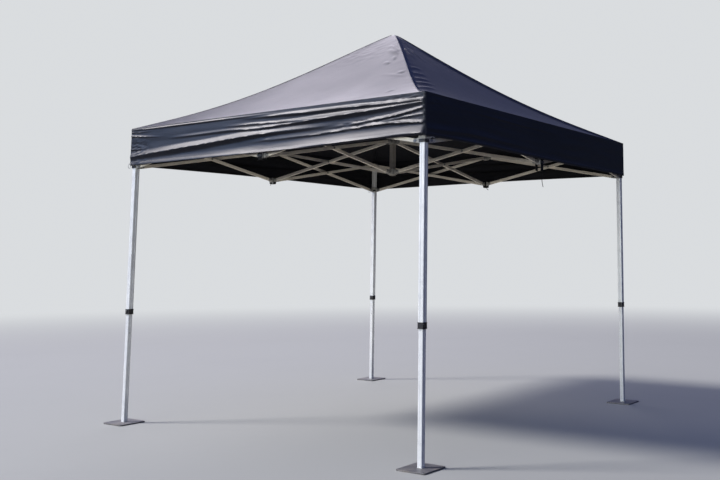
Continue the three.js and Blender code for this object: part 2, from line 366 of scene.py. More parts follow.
def makeFabric(look):
    material, tree, shader = startMaterial("canopyFabric", look["shader"])
    cloth = readAttribute(tree, "clothAt")
    weave = placeGroup(tree, "weave", {"Pitch": look["threadPitch"]}, cloth)
    dust = placeGroup(tree, "dust", look["dust"], cloth)
    patches = addNode(tree, "ShaderNodeTexNoise", look["patches"])
    tree.links.new(cloth, patches.inputs["Vector"])
    crumple = addNode(tree, "ShaderNodeTexNoise", look["crumples"])
    tree.links.new(cloth, crumple.inputs["Vector"])

    # Pale dashes of stitching beside each seam
    seam = readAttribute(tree, "seamAt", "Fac")
    fromLine = mathNode(tree, "ABSOLUTE", mathNode(tree, "SUBTRACT", seam, look["stitchAt"]))
    onLine = mathNode(tree, "LESS_THAN", fromLine, look["stitchHalf"])
    apart = addNode(tree, "ShaderNodeSeparateXYZ")
    tree.links.new(cloth, apart.inputs["Vector"])
    alongSeam = mathNode(tree, "ADD", apart.outputs["X"], apart.outputs["Y"])
    beats = mathNode(tree, "DIVIDE", alongSeam, look["stitchPitch"])
    dashes = mathNode(tree, "GREATER_THAN", mathNode(tree, "FRACT", beats), look["stitchGap"])
    stitches = mathNode(tree, "MULTIPLY", onLine, dashes)

    # Colour: cloth with faded patches, dust on it, the stitches, and a duller underside
    faded = spread(tree, patches.outputs["Fac"], 0.0, 1.0, 0.4, 0.7)
    colour = mixColour(tree, faded, look["cloth"], look["faded"])
    colour = mixColour(tree, dust.outputs["Mask"], colour, look["dustColour"])
    colour = mixColour(tree, stitches, colour, look["threadColour"])
    back = addNode(tree, "ShaderNodeNewGeometry").outputs["Backfacing"]
    inner = mathNode(tree, "MAXIMUM", back, readAttribute(tree, "liningAt", "Fac"))
    colour = mixColour(tree, inner, colour, look["underside"])
    tree.links.new(colour, shader.inputs["Base Color"])

    rough = spread(tree, patches.outputs["Fac"], *look["roughness"], 0.35, 0.7)
    rough = addShare(tree, rough, dust.outputs["Mask"], look["dustRough"])
    rough = addShare(tree, rough, inner, look["undersideRough"])
    tree.links.new(rough, shader.inputs["Roughness"])

    # Surface: small crumples of the coated cloth, stitches that stand on it, and the weave
    normal = addBump(tree, crumple.outputs["Fac"], look["crumpleDepth"], 0.5)
    normal = addBump(tree, stitches, look["stitchDepth"], 0.6, normal)
    normal = addBump(tree, weave.outputs["Height"], look["threadDepth"], 0.35, normal)
    tree.links.new(normal, shader.inputs["Normal"])
    return material


# Hard finishes: a darker and a lighter tone that the grain mixes, the worn edges, and the dirt
metalLooks = {
    "legAluminium": {
        "tones": ((0.78, 0.80, 0.82), (0.90, 0.92, 0.93)),
        "worn": (0.95, 0.95, 0.95),
        "dirt": (0.33, 0.30, 0.25),
        "grain": {"Stretch": (900.0, 900.0, 6.0)},
        "shader": {"Metallic": 0.12},
        "roughness": (0.25, 0.36),
        "dirtAmount": 0.22,
        "edge": 0.5,
    },
    # partly painted light: the warm beige in the bars' tones stands for warm light bounced up from the ground
    # onto the shaded bars; the rest is the aluminium's own colour
    "barAluminiumBounceTinted": {
        "tones": ((0.82, 0.765, 0.665), (0.93, 0.87, 0.76)),
        "worn": (0.96, 0.91, 0.85),
        "dirt": (0.22, 0.19, 0.15),
        "grain": {"Stretch": (6.0, 900.0, 900.0)},
        "shader": {"Metallic": 0.15},
        "roughness": (0.34, 0.5),
        "dirtAmount": 0.25,
        "edge": 0.5,
    },
    "boltSteel": {
        "tones": ((0.36, 0.35, 0.33), (0.55, 0.55, 0.54)),
        "worn": (0.8, 0.8, 0.79),
        "dirt": (0.17, 0.10, 0.06),
        "grain": {"Stretch": (300.0, 300.0, 300.0)},
        "shader": {"Metallic": 0.95},
        "roughness": (0.28, 0.45),
        "dirtAmount": 0.4,
        "edge": 0.6,
    },
    "plateSteel": {
        "tones": ((0.17, 0.168, 0.17), (0.27, 0.265, 0.265)),
        "worn": (0.42, 0.41, 0.40),
        "dirt": (0.30, 0.26, 0.21),
        "grain": {"Stretch": (60.0, 60.0, 60.0)},
        "shader": {"Metallic": 0.45},
        "roughness": (0.45, 0.62),
        "dirtAmount": 0.7,
        "edge": 0.9,
    },
    # painted shade: the mast's aluminium is toned far darker than the legs' to stand for the deep shade at
    # the middle of the canopy
    "mastAluminiumDarkenedForShade": {
        "tones": ((0.38, 0.36, 0.32), (0.52, 0.49, 0.44)),
        "worn": (0.75, 0.73, 0.70),
        "dirt": (0.22, 0.19, 0.15),
        "grain": {"Stretch": (900.0, 900.0, 6.0)},
        "shader": {"Metallic": 0.3},
        "roughness": (0.35, 0.5),
        "dirtAmount": 0.3,
        "edge": 0.5,
    },
}

plasticLooks = {
    "bracketNylon": {
        "tones": ((0.34, 0.335, 0.32), (0.46, 0.455, 0.44)),
        "worn": (0.62, 0.61, 0.59),
        "dirt": (0.20, 0.17, 0.13),
        "grain": {"Scale": 750.0},
        "shader": {"Specular IOR Level": 0.5},
        "roughness": (0.42, 0.55),
        "dirtAmount": 0.45,
        "edge": 0.5,
    },
    "lockPlastic": {
        "tones": ((0.018, 0.018, 0.02), (0.035, 0.035, 0.038)),
        "worn": (0.13, 0.13, 0.135),
        "dirt": (0.16, 0.14, 0.12),
        "grain": {"Scale": 750.0},
        "shader": {"Specular IOR Level": 0.5},
        "roughness": (0.33, 0.46),
        "dirtAmount": 0.25,
        "edge": 0.6,
    },
}

# How drawn metal and moulded plastic are built: grain group, what its shade is read between, bump of the
# grain as depth and strength, width of the rubbed edges, scale and cover of the dirt, and its roughness
metalWay = {
    "group": "drawn",
    "shadeFrom": (0.6, 1.4),
    "bump": (0.00008, 0.4),
    "edgeWidth": 0.0016,
    "dirtScale": 7.0,
    "dirtCover": 0.5,
    "dirtRough": 0.35,
}
plasticWay = {
    "group": "mould",
    "shadeFrom": (0.35, 0.65),
    "bump": (0.0002, 0.3),
    "edgeWidth": 0.0014,
    "dirtScale": 11.0,
    "dirtCover": 0.55,
    "dirtRough": 0.4,
}


def makeHardFinish(name, look, way):
    material, tree, shader = startMaterial(name, look["shader"])
    place = addNode(tree, "ShaderNodeTexCoord").outputs["Object"]
    grain = placeGroup(tree, way["group"], look["grain"], place)
    edges = placeGroup(tree, "edges", {"Width": way["edgeWidth"], "Amount": look["edge"]}, place)
    dirtValues = {"Scale": way["dirtScale"], "Cover": way["dirtCover"], "Amount": look["dirtAmount"]}
    dirt = placeGroup(tree, "dust", dirtValues, place)
    shade = spread(tree, grain.outputs["Shade"], 0.0, 1.0, *way["shadeFrom"])
    colour = mixColour(tree, shade, *look["tones"])
    colour = mixColour(tree, edges.outputs["Mask"], colour, look["worn"])
    colour = mixColour(tree, dirt.outputs["Mask"], colour, look["dirt"])
    tree.links.new(colour, shader.inputs["Base Color"])
    rough = spread(tree, grain.outputs["Shade"], *look["roughness"], *way["shadeFrom"])
    rough = addShare(tree, rough, dirt.outputs["Mask"], way["dirtRough"])
    tree.links.new(rough, shader.inputs["Roughness"])
    tree.links.new(addBump(tree, grain.outputs["Height"], *way["bump"]), shader.inputs["Normal"])
    return material


webbingLook = {
    "tones": ((0.006, 0.006, 0.007), (0.018, 0.018, 0.019)),  # painted shade between the threads, and the threads' own colour on them
    "dustColour": (0.09, 0.08, 0.07),
    "dust": {"Scale": 16.0, "Cover": 0.5, "Amount": 0.3},
    "shader": {"Roughness": 0.8, "Specular IOR Level": 0.3},
    "threadPitch": 0.0024,
    "threadDepth": 0.0005,
}


def makeWebbing(look):
    material, tree, shader = startMaterial("strapWebbing", look["shader"])
    cloth = readAttribute(tree, "clothAt")
    weave = placeGroup(tree, "weave", {"Pitch": look["threadPitch"]}, cloth)
    dust = placeGroup(tree, "dust", look["dust"], cloth)
    # the weave's low parts take the darker tone: painted shade in the hollows between the threads
    colour = mixColour(tree, weave.outputs["Height"], *look["tones"])
    colour = mixColour(tree, dust.outputs["Mask"], colour, look["dustColour"])
    tree.links.new(colour, shader.inputs["Base Color"])
    normal = addBump(tree, weave.outputs["Height"], look["threadDepth"], 0.8)
    tree.links.new(normal, shader.inputs["Normal"])
    return material


fabric = makeFabric(fabricLook)
metals = [makeHardFinish(name, look, metalWay) for name, look in metalLooks.items()]
legMetal, barMetalBounceTinted, boltSteel, plateSteel, mastMetalDarkenedForShade = metals
nylon, lockPlastic = [makeHardFinish(name, look, plasticWay) for name, look in plasticLooks.items()]
webbing = makeWebbing(webbingLook)
print("materials ready")


# Mesh helpers. A ring is a list of points, and a loft joins rings that have the same number of points.

endOn = Matrix(((0, 0, 1, 0), (1, 0, 0, 0), (0, 1, 0, 0), (0, 0, 0, 1)))  # outline in YZ, length along X
edgeOn = Matrix(((1, 0, 0, 0), (0, 0, 1, 0), (0, 1, 0, 0), (0, 0, 0, 1)))  # outline in XZ, length along Y
upright = Matrix.Identity(4)


def ringAt(outline, level, place=upright):
    return [place @ Vector((x, y, level)) for x, y in outline]


# Faces between neighbouring rings of vertices
def bridge(bm, rings):
    faces = []
    for lower, upper in zip(rings, rings[1:]):
        for i in range(len(lower)):
            j = (i + 1) % len(lower)
            faces.append(bm.faces.new((lower[i], lower[j], upper[j], upper[i])))
    return faces


def loft(bm, rings, paint=0, capped=True, around=False):
    made = [[bm.verts.new(point) for point in ring] for ring in rings]
    faces = bridge(bm, made + made[:1] if around else made)
    if capped and not around:
        faces.append(bm.faces.new(made[0][::-1]))
        faces.append(bm.faces.new(made[-1]))
    for face in faces:
        face.material_index = paint
    return made


# Tube between two outlines that have the same number of points
def addTube(bm, outer, inner, low, high, paint=0):
    rings = [ringAt(outer, low), ringAt(outer, high), ringAt(inner, high), ringAt(inner, low)]
    loft(bm, rings, paint, around=True)


def circle(radius, points=16, start=0.0, end=2 * math.pi):
    whole = abs(end - start - 2 * math.pi) < 1e-9
    steps = points if whole else points - 1
    turns = [start + (end - start) * i / steps for i in range(points)]
    return [(radius * math.cos(turn), radius * math.sin(turn)) for turn in turns]


# Rectangle with round corners. Each face may have grooves: (middle, width, depth).
def profile(width, height, radius, grooves=((), (), (), ()), steps=3):
    points = []
    for side in range(4):
        length, out = (width, height / 2) if side % 2 == 0 else (height, width / 2)
        run = [(radius - length / 2, -out)]
        for middle, wide, deep in grooves[side]:
            near, far = middle - wide / 2, middle + wide / 2
            run += [(near, -out), (near + deep, deep - out), (far - deep, deep - out), (far, -out)]
        for step in range(steps):
            turn = math.pi / 2 * (step / steps - 1)
            x = length / 2 - radius + radius * math.cos(turn)
            run.append((x, radius - out + radius * math.sin(turn)))
        turned = Matrix.Rotation(side * math.pi / 2, 2)
        points += [tuple(turned @ Vector(point)) for point in run]
    return points


def stack(bm, levels, place=upright, points=16, paint=0):
    loft(bm, [ringAt(circle(radius, points), level, place) for radius, level in levels], paint)


def boxAt(bm, middle, size, place=upright, paint=0):
    x, y, z = (value / 2 for value in size)
    outline = [(-x, -y), (x, -y), (x, y), (-x, y)]
    moved = place @ Matrix.Translation(middle)
    loft(bm, [ringAt(outline, -z, moved), ringAt(outline, z, moved)], paint)


# Carries a section along a path; the section's first axis stays level with the given side direction.
def sweep(bm, path, section, across, closed=False):
    rings = []
    count = len(path)
    for i, point in enumerate(path):
        before = path[(i - 1) % count] if closed or i else point
        after = path[(i + 1) % count] if closed or i < count - 1 else point
        ahead = (after - before).normalized()
        sideways = across(point) if callable(across) else across
        sideways = (sideways - ahead * sideways.dot(ahead)).normalized()
        lift = ahead.cross(sideways)
        rings.append([point + sideways * a + lift * b for a, b in section])
    return loft(bm, rings, capped=not closed, around=closed)


# Washer and hexagon head that stand on +Z of the place; as a nut, with the end of the thread on top
boltLook = {
    "washer": 0.0088,
    "washerThick": 0.0013,
    "head": 0.0072,
    "headThick": 0.0042,
    "headTop": 0.84,              # width of the head's top, as a share of its own
    "chamfer": 0.0008,
    "thread": 0.0036,
    "threadOver": 0.0022,         # end of the thread over the nut
}


def boltEnd(bm, place, paint, nut=False):
    look = boltLook
    head, low = look["head"], look["washerThick"]
    high = low + look["headThick"]
    stack(bm, [(look["washer"], 0), (look["washer"], low)], place, 18, paint)
    levels = [(head, low), (head, high - look["chamfer"]), (head * look["headTop"], high)]
    stack(bm, levels, place, 6, paint)
    if nut:
        thread, end = look["thread"], high + look["threadOver"]
        levels = [(thread, high - 0.001), (thread, end), (thread * 0.7, end + 0.0006)]
        stack(bm, levels, place, 12, paint)


def finishPiece(bm, name, body, materials, nodes=(), place=upright, bevel=0.0, flatBelow=35):
    bmesh.ops.recalc_face_normals(bm, faces=bm.faces)
    mesh = bpy.data.meshes.new(name)
    bm.to_mesh(mesh)
    bm.free()
    for material in materials:
        mesh.materials.append(material)
    mesh.shade_smooth()
    mesh.set_sharp_from_angle(angle=math.radians(flatBelow))
    piece = bpy.data.objects.new(name, mesh)
    bpy.context.scene.collection.objects.link(piece)
    piece.matrix_world = place
    if bevel:
        rounded = piece.modifiers.new("roundedEdges", "BEVEL")
        rounded.width = bevel
        rounded.segments = 2
        rounded.limit_method = "ANGLE"
        rounded.angle_limit = math.radians(50)
        rounded.harden_normals = True
    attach(piece, body)
    if nodes:
        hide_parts(*nodes)
    return piece


def quarterTurn(quarter):
    return Matrix.Rotation(quarter * math.pi / 2, 4, "Z")


# Scissor bars: grooved tube and nylon end eyes, with the crossing bolt on one bar of each pair

barLook = {
    "depth": 0.026,
    "thickness": 0.013,
    "cornerRadius": 0.0014,
    "grooves": (-0.0053, 0.0, 0.0053),
    "grooveWidth": 0.0032,
    "grooveDepth": 0.0009,
    "eyeRadius": 0.0127,
    "eyeThickness": 0.0124,
    "bossRadius": 0.0092,
    "bossOver": 0.0004,           # how far the boss stands over the eye
    "tubeStart": 0.021,           # from the pivot to the tube's end
    "spacerRadius": 0.0085,
    "spacerPlay": 0.0002,         # between the spacer and the bar that crosses
    "nutPlay": 0.0003,            # between that bar and the washer of the nut
    "edge": 0.0004,               # width of the rounded edges
}


def barSection(look):
    lines = [(at, look["grooveWidth"], look["grooveDepth"]) for at in look["grooves"]]
    return profile(look["thickness"], look["depth"], look["cornerRadius"], ((), lines, (), lines))


def addEye(bm, look, pivotX, facing):
    radius, half = look["eyeRadius"], look["eyeThickness"] / 2
    inner = look["tubeStart"] * facing
    start = math.pi / 2
    arc = circle(radius, 13, start, start + math.pi)
    outline = [(pivotX + x * facing, z) for x, z in arc]
    outline += [(pivotX + inner, -radius), (pivotX + inner, radius)]
    loft(bm, [ringAt(outline, -half, edgeOn), ringAt(outline, half, edgeOn)], 1)
    boss = Matrix.Translation((pivotX, 0, 0)) @ edgeOn
    reach = half + look["bossOver"]
    stack(bm, [(look["bossRadius"], -reach), (look["bossRadius"], reach)], boss, 20, 1)


def makeBar(name, place, crossing):
    look = barLook
    bm = bmesh.new()
    section = barSection(look)
    ends = (look["tubeStart"], barLength - look["tubeStart"])
    loft(bm, [ringAt(section, x, endOn) for x in ends])
    addEye(bm, look, 0, 1)
    addEye(bm, look, barLength, -1)
    if crossing:
        half = look["thickness"] / 2
        middle = Matrix.Translation((barLength / 2, 0, 0))
        boltEnd(bm, middle @ Matrix.Translation((0, half, 0)) @ edgeOn, 2)
        behind = Matrix.Translation((0, -2 * lane - half - look["nutPlay"], 0))
        boltEnd(bm, middle @ behind @ Matrix.Rotation(math.pi, 4, "X") @ edgeOn, 2, nut=True)
        radius = look["spacerRadius"]
        spacer = [(radius, -half), (radius, -2 * lane + half + look["spacerPlay"])]
        stack(bm, spacer, middle @ edgeOn, 18, 1)
    finishPiece(bm, name, name, [barMetalBounceTinted, nylon, boltSteel], [name], place, look["edge"])


def makeBars():
    farPivot = wallAt - legReach
    for quarter, side in enumerate(sides):
        wall = quarterTurn(quarter) @ Matrix.Translation((0, -wallAt, 0))
        arm = quarterTurn(quarter - 1)
        rows = [
            ("bar_rising_right", wall, midReach, lane, lowerZ, -1, True),
            ("bar_falling_right", wall, midReach, -lane, upperZ, 1, False),
            ("bar_rising_left", wall, -farPivot, lane, upperZ, 1, True),
            ("bar_falling_left", wall, -farPivot, -lane, lowerZ, -1, False),
            ("arm_upper", arm, hubReach, lane, upperZ, 1, True),
            ("arm_lower", arm, hubReach, -lane, lowerZ, -1, False),
        ]
        for kind, base, x, y, z, slope, crossing in rows:
            place = base @ Matrix.Translation((x, y, z)) @ Matrix.Rotation(slope * barTilt, 4, "Y")
            makeBar(f"{side}_{kind}", place, crossing)


makeBars()
print("bars ready")


# Brackets: a moulded core with pairs of ears, a bolt through each pair, and stiffening ribs

earLook = {
    "radius": 0.0122,
    "gap": 0.0005,
    "thickness": 0.004,
    "rootSunk": 0.004,            # how far the ears reach into the core
    "rootWider": 0.006,           # how much taller they are there, above and below
    "boss": 0.0096,
    "bossHeight": 0.0012,
    "pin": 0.0042,
}


def addFork(bm, coreHalf, pivotAt, laneAt, turn):
    look = earLook
    around = Matrix.Rotation(turn, 4, "Z")
    inner = barLook["thickness"] / 2 + look["gap"]
    outer = inner + look["thickness"]
    arc = circle(look["radius"], 13, -math.pi / 2, math.pi / 2)
    root, tall = coreHalf - look["rootSunk"], look["radius"] + look["rootWider"]
    outline = [(pivotAt + x, z) for x, z in arc] + [(root, tall), (root, -tall)]
    for low, high in ((laneAt - outer, laneAt - inner), (laneAt + inner, laneAt + outer)):
        loft(bm, [ringAt(outline, low, around @ edgeOn), ringAt(outline, high, around @ edgeOn)])
    for facing in (-1, 1):
        face = Matrix.Translation((pivotAt, laneAt + facing * outer, 0))
        if facing < 0:
            face = face @ Matrix.Rotation(math.pi, 4, "X")
        standing = around @ face @ edgeOn
        stack(bm, [(look["boss"], -0.001), (look["boss"], look["bossHeight"])], standing, 20)
        raised = around @ face @ Matrix.Translation((0, look["bossHeight"], 0)) @ edgeOn
        boltEnd(bm, raised, 1, nut=facing < 0)
    pin = around @ Matrix.Translation((pivotAt, laneAt, 0)) @ edgeOn
    stack(bm, [(look["pin"], -inner), (look["pin"], inner)], pin, 12, 1)


def addCore(bm, half, low, high, bore=0.0, radius=0.004, paint=0):
    outer = profile(2 * half, 2 * half, radius)
    if bore:
        addTube(bm, outer, profile(bore, bore, 0.0015), low, high, paint)
    else:
        loft(bm, [ringAt(outer, low), ringAt(outer, high)], paint)


ribLook = {"thickness": 0.0025, "flange": 0.0028, "fromEnd": 0.002, "sunk": 0.001}


# Upright ribs and two flanges on one face of a core, turned from +X
def addRibs(bm, half, low, high, turn, offsets, proud=0.002):
    look = ribLook
    around = Matrix.Rotation(turn, 4, "Z")
    deep = proud + look["sunk"]
    x = half + proud / 2 - look["sunk"] / 2
    tall = high - low - 2 * look["fromEnd"]
    for offset in offsets:
        boxAt(bm, (x, offset, (low + high) / 2), (deep, look["thickness"], tall), around)
    wide = 2 * max(abs(offset) for offset in offsets) + look["thickness"]
    for level in (low + look["fromEnd"], high - look["fromEnd"]):
        boxAt(bm, (x, 0, level), (deep, wide, look["flange"]), around)


bracketLook = {
    "midHalf": 0.020,
    "midRibs": (-0.012, 0.0, 0.012),
    "hubHalf": 0.030,
    "hubRibs": (-0.024, 0.024),
    "hubRibProud": 0.0015,
    "hubCorner": 0.006,
    "halfHeight": 0.022,
    "edge": 0.0006,
}


def makeMidBracket(side, quarter, level):
    look = bracketLook
    laneAt = -lane if level == "upper" else lane
    half, height = look["midHalf"], look["halfHeight"]
    bm = bmesh.new()
    addCore(bm, half, -height, height)
    addFork(bm, half, midReach, laneAt, 0)
    addFork(bm, half, midReach, -laneAt, math.pi)
    addFork(bm, half, midReach, -laneAt, math.pi / 2)
    addRibs(bm, half, -height, height, -math.pi / 2, look["midRibs"])
    z = upperZ if level == "upper" else lowerZ
    place = quarterTurn(quarter) @ Matrix.Translation((0, -wallAt, z))
    node = f"{side}_mid_bracket_{level}"
    body = f"{side}_mid_{level}"
    finishPiece(bm, node, body, [nylon, boltSteel], [node], place, look["edge"])


def makeHub(name, body, z, laneAt, play):
    look = bracketLook
    half, height = look["hubHalf"], look["halfHeight"]
    bm = bmesh.new()
    addCore(bm, half, -height, height, mastLook["lowerSide"] + play, look["hubCorner"])
    for quarter in range(4):
        turn = quarter * math.pi / 2
        addFork(bm, half, hubReach, laneAt, turn)
        addRibs(bm, half, -height, height, turn, look["hubRibs"], look["hubRibProud"])
    place = Matrix.Translation((0, 0, z))
    finishPiece(bm, name, body, [nylon, boltSteel], [name], place, look["edge"])


mastLook = {
    "lowerSide": 0.040,
    "upperSide": 0.032,
    "wall": 0.002,
    "lowerCorner": 0.004,
    "upperCorner": 0.003,
    "groove": (0.012, 0.0012),    # width and depth
    "joint": 0.02,                # end of the lower tube over the upper pivots
    "overlap": 0.03,
    "intoCap": 0.06,              # from the end of the upper tube to the top of the mast
    # radius and height of the collar's levels over the joint, and of the cap's levels over the peak
    "collar": [(0.034, -0.004), (0.034, 0.006), (0.027, 0.014)],
    "cap": [(0.030, -0.078), (0.030, -0.042), (0.024, -0.030), (0.012, -0.018), (0.002, -0.015)],
    "edge": 0.0004,
}


# Square tube with a groove along each face
def addGroovedTube(bm, side, wall, low, high, radius, groove, paint=0):
    wide, deep = groove
    bore = side - 2 * wall
    outer = profile(side, side, radius, [[(0.0, wide, deep)]] * 4)
    inner = profile(bore, bore, radius * 0.5, [[(0.0, wide * 0.7, deep * 0.5)]] * 4)
    addTube(bm, outer, inner, low, high, paint)


def makeMast():
    look = mastLook
    low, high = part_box("mast")
    joint = upperZ + look["joint"]
    wall, groove = look["wall"], look["groove"]
    start, end = joint - look["overlap"], high.z - look["intoCap"]
    bm = bmesh.new()
    addGroovedTube(bm, look["lowerSide"], wall, low.z, joint, look["lowerCorner"], groove)
    addGroovedTube(bm, look["upperSide"], wall, start, end, look["upperCorner"], groove)
    stack(bm, [(radius, joint + z) for radius, z in look["collar"]], upright, 24, 1)
    stack(bm, [(radius, peakZ + z) for radius, z in look["cap"]], upright, 28, 1)
    finishPiece(bm, "mast", "centre", [mastMetalDarkenedForShade, nylon], ["mast"], bevel=look["edge"])


for quarter, side in enumerate(sides):
    makeMidBracket(side, quarter, "upper")
    makeMidBracket(side, quarter, "lower")
makeHub("hub_upper", "centre", upperZ, lane, 0.0006)
makeHub("hub_lower", "hub_lower", lowerZ, -lane, 0.0016)  # looser, because it slides on the mast
makeMast()
print("brackets and mast ready")


# Legs. Each corner is made for the front left leg, whose bars leave along +X and +Y.

legLook = {
    "outerSide": 0.040,
    "outerWall": 0.0018,
    "outerCorner": 0.0035,
    "outerGroove": (0.011, 0.0014),
    "innerSide": 0.034,
    "innerWall": 0.0018,
    "innerCorner": 0.003,
    "innerGroove": (0.008, 0.0009),
    "buttonZ": 0.694,
    "button": [(0.0045, 0), (0.0045, 0.0008), (0.00315, 0.0011), (0.0009, 0.0012)],  # radius, height
    "edge": 0.0004,
}
headLook = {
    "half": 0.024,
    "top": 0.030,
    "coreTop": 0.026,
    "tubeTop": 0.022,
    "play": 0.0004,               # between the head's bore and the tube
    "ribs": (-0.014, 0.0, 0.014),
    "corner": 0.004,
    "rounding": [(0, 0.0045), (0, 0.0025), (0.0035, 0)],  # in from the side, down from the top
}


def makeOuterLeg(corner, place):
    look, head = legLook, headLook
    node = f"{corner}_outer_leg"
    half, top = head["half"], head["top"]
    low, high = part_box(node)[0].z, upperZ + head["tubeTop"]
    bm = bmesh.new()
    addGroovedTube(
        bm, look["outerSide"], look["outerWall"], low, high, look["outerCorner"], look["outerGroove"], 2
    )
    lifted = bmesh.new()
    addCore(lifted, half, -half, head["coreTop"], look["outerSide"] + head["play"])
    addFork(lifted, half, legReach, lane, 0)
    addFork(lifted, half, legReach, -lane, math.pi / 2)
    for turn in (math.pi, -math.pi / 2):
        addRibs(lifted, half, -half, head["coreTop"], turn, head["ribs"])
    rings = []
    for inward, down in head["rounding"]:
        side = 2 * (half - inward)
        rings.append(ringAt(profile(side, side, head["corner"]), top - down))
    loft(lifted, rings)
    bmesh.ops.translate(lifted, verts=lifted.verts, vec=(0, 0, upperZ))
    mesh = bpy.data.meshes.new("legHead")
    lifted.to_mesh(mesh)
    lifted.free()
    bm.from_mesh(mesh)
    bpy.data.meshes.remove(mesh)
    materials = [nylon, boltSteel, legMetal]
    finishPiece(bm, node, f"{corner}_leg", materials, [node], place, look["edge"])


def makeInnerLeg(corner, place):
    look = legLook
    node = f"{corner}_inner_leg"
    low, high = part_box(node)
    bm = bmesh.new()
    addGroovedTube(
        bm, look["innerSide"], look["innerWall"], low.z, high.z, look["innerCorner"], look["innerGroove"]
    )
    button = Matrix.Translation((look["innerSide"] / 2 - 0.001, 0, look["buttonZ"])) @ endOn
    stack(bm, look["button"], button, 16, 1)
    finishPiece(bm, node, f"{corner}_foot", [legMetal, boltSteel], [node], place, look["edge"])


lockLook = {
    "side": 0.0440,
    "bore": 0.0352,
    "flangeSide": 0.0475,
    "flangeHeight": 0.0045,
    "corner": 0.004,
    "boreCorner": 0.002,
    "flangeCorner": 0.005,
    "latch": (0.018, 0.005, 0.020),
    "latchOut": 0.002,            # from the collar's face to the middle of the latch
    "latchUp": 0.002,             # from the middle of the collar
    "ridge": (0.014, 0.0014, 0.0016),
    "ridgeOut": 0.0048,
    "ridgeLevels": (-0.004, 0.0, 0.004),
    "rivetAt": (0.0165, 0.010),   # from the middle of the face, and from the collar's end
    "rivet": [(0.0028, -0.001), (0.0028, 0.001), (0.0018, 0.002)],
    "edge": 0.0006,
}


def makeLock(corner, place):
    look = lockLook
    node = f"{corner}_leg_lock"
    low, high = (end.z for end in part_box(node))
    side, wide, flange = look["side"], look["flangeSide"], look["flangeHeight"]
    face = -side / 2
    bore = profile(look["bore"], look["bore"], look["boreCorner"])
    rim = profile(wide, wide, look["flangeCorner"])
    bm = bmesh.new()
    addTube(bm, profile(side, side, look["corner"]), bore, low + flange, high - flange)
    addTube(bm, rim, bore, low, low + flange)
    addTube(bm, rim, bore, high - flange, high)
    latchZ = (low + high) / 2 + look["latchUp"]
    boxAt(bm, (0, face - look["latchOut"], latchZ), look["latch"])
    for level in look["ridgeLevels"]:
        boxAt(bm, (0, face - look["ridgeOut"], latchZ + level), look["ridge"])
    x, inset = look["rivetAt"]
    for middle in ((x, face, low + inset), (-x, face, high - inset)):
        rivet = Matrix.Translation(middle) @ Matrix.Rotation(math.pi, 4, "X") @ edgeOn
        stack(bm, look["rivet"], rivet, 14, 1)
    finishPiece(bm, node, f"{corner}_leg", [lockPlastic, boltSteel], [node], place, look["edge"])


sliderLook = {
    "half": 0.026,
    "corner": 0.005,
    "bore": 0.041,
    "below": 0.014,
    "above": 0.031,
    "ringTop": 0.006,             # of the black ring, which is a little slimmer
    "ringInset": 0.001,
    "ribs": ((math.pi, (-0.017, 0.0, 0.017)), (-math.pi / 2, (-0.017, 0.017))),
    "edge": 0.0006,
}


def makeSlider(corner, place):
    look = sliderLook
    half, bore, top, ring = look["half"], look["bore"], look["above"], look["ringTop"]
    bm = bmesh.new()
    addCore(bm, half - look["ringInset"], -look["below"], ring, bore, look["corner"], 2)
    addCore(bm, half, ring, top, bore, look["corner"])
    addFork(bm, half, legReach, -lane, 0)
    addFork(bm, half, legReach, lane, math.pi / 2)
    for turn, offsets in look["ribs"]:
        addRibs(bm, half, ring, top, turn, offsets)
    node = f"{corner}_leg_slider"
    body = f"{corner}_slider"
    moved = place @ Matrix.Translation((0, 0, lowerZ))
    finishPiece(bm, node, body, [nylon, boltSteel, lockPlastic], [node], moved, look["edge"])


# Spring pin on the slider's outer face, with the ring that hangs on it
pullLook = {
    "z": 0.014,
    "reach": 0.056,
    # radius and height of the barrel's levels over the face, and of the knob's levels over the pin's end
    "barrel": [(0.008, -0.001), (0.008, 0.006), (0.0065, 0.008), (0.0042, 0.009)],
    "knob": [(0.0042, -0.006), (0.0058, -0.005), (0.0058, 0), (0.004, 0.001)],
    "ringAt": 0.064,
    "ringAside": 0.004,
    "ringDrop": 0.0155,           # from the pin to the middle of the ring
    "ringWide": 0.0165,
    "ringTall": 0.0185,
    "ringAlong": (0.42, -0.907, 0),
    "ringAcross": (0.907, 0.42, 0),
    "wire": 0.0016,
}


def makePull(corner, place):
    look = pullLook
    half = sliderLook["half"]
    bm = bmesh.new()
    axis = Matrix.Translation((0, -half, look["z"])) @ Matrix.Rotation(math.pi, 4, "X") @ edgeOn
    end = look["reach"] - half
    stack(bm, look["barrel"] + [(radius, end + z) for radius, z in look["knob"]], axis, 18)
    centre = Vector((look["ringAside"], -look["ringAt"], look["z"] - look["ringDrop"]))
    along = Vector(look["ringAlong"]) * look["ringWide"]
    path = [centre + along * x + Vector((0, 0, z * look["ringTall"])) for x, z in circle(1.0, 36)]
    sweep(bm, path, circle(look["wire"], 8), Vector(look["ringAcross"]), closed=True)
    moved = place @ Matrix.Translation((0, 0, lowerZ))
    finishPiece(bm, f"{corner}_pull_pin", f"{corner}_slider", [boltSteel], (), moved)


footLook = {
    "side": 0.220,
    "thickness": 0.010,
    "corner": 0.014,
    "holeRadius": 0.0065,
    "holeInset": 0.022,
    "spigotSide": 0.029,
    "spigotTop": 0.050,
    "spigotChamfer": (0.005, 0.004),  # width and height
    "spigotCorner": 0.004,
    "edge": 0.0008,
}


def plateWithHoles(bm, outline, holes, low, high):
    loops = [outline] + holes
    levels = []
    for z in (low, high):
        levels.append([[bm.verts.new((x, y, z)) for x, y in loop] for loop in loops])
    for rings in zip(*levels):
        bridge(bm, rings)
    for level in levels:
        edges = []
        for loop in level:
            edges += [bm.edges.get((loop[i - 1], loop[i])) for i in range(len(loop))]
        bmesh.ops.triangle_fill(bm, use_beauty=True, use_dissolve=False, edges=edges)


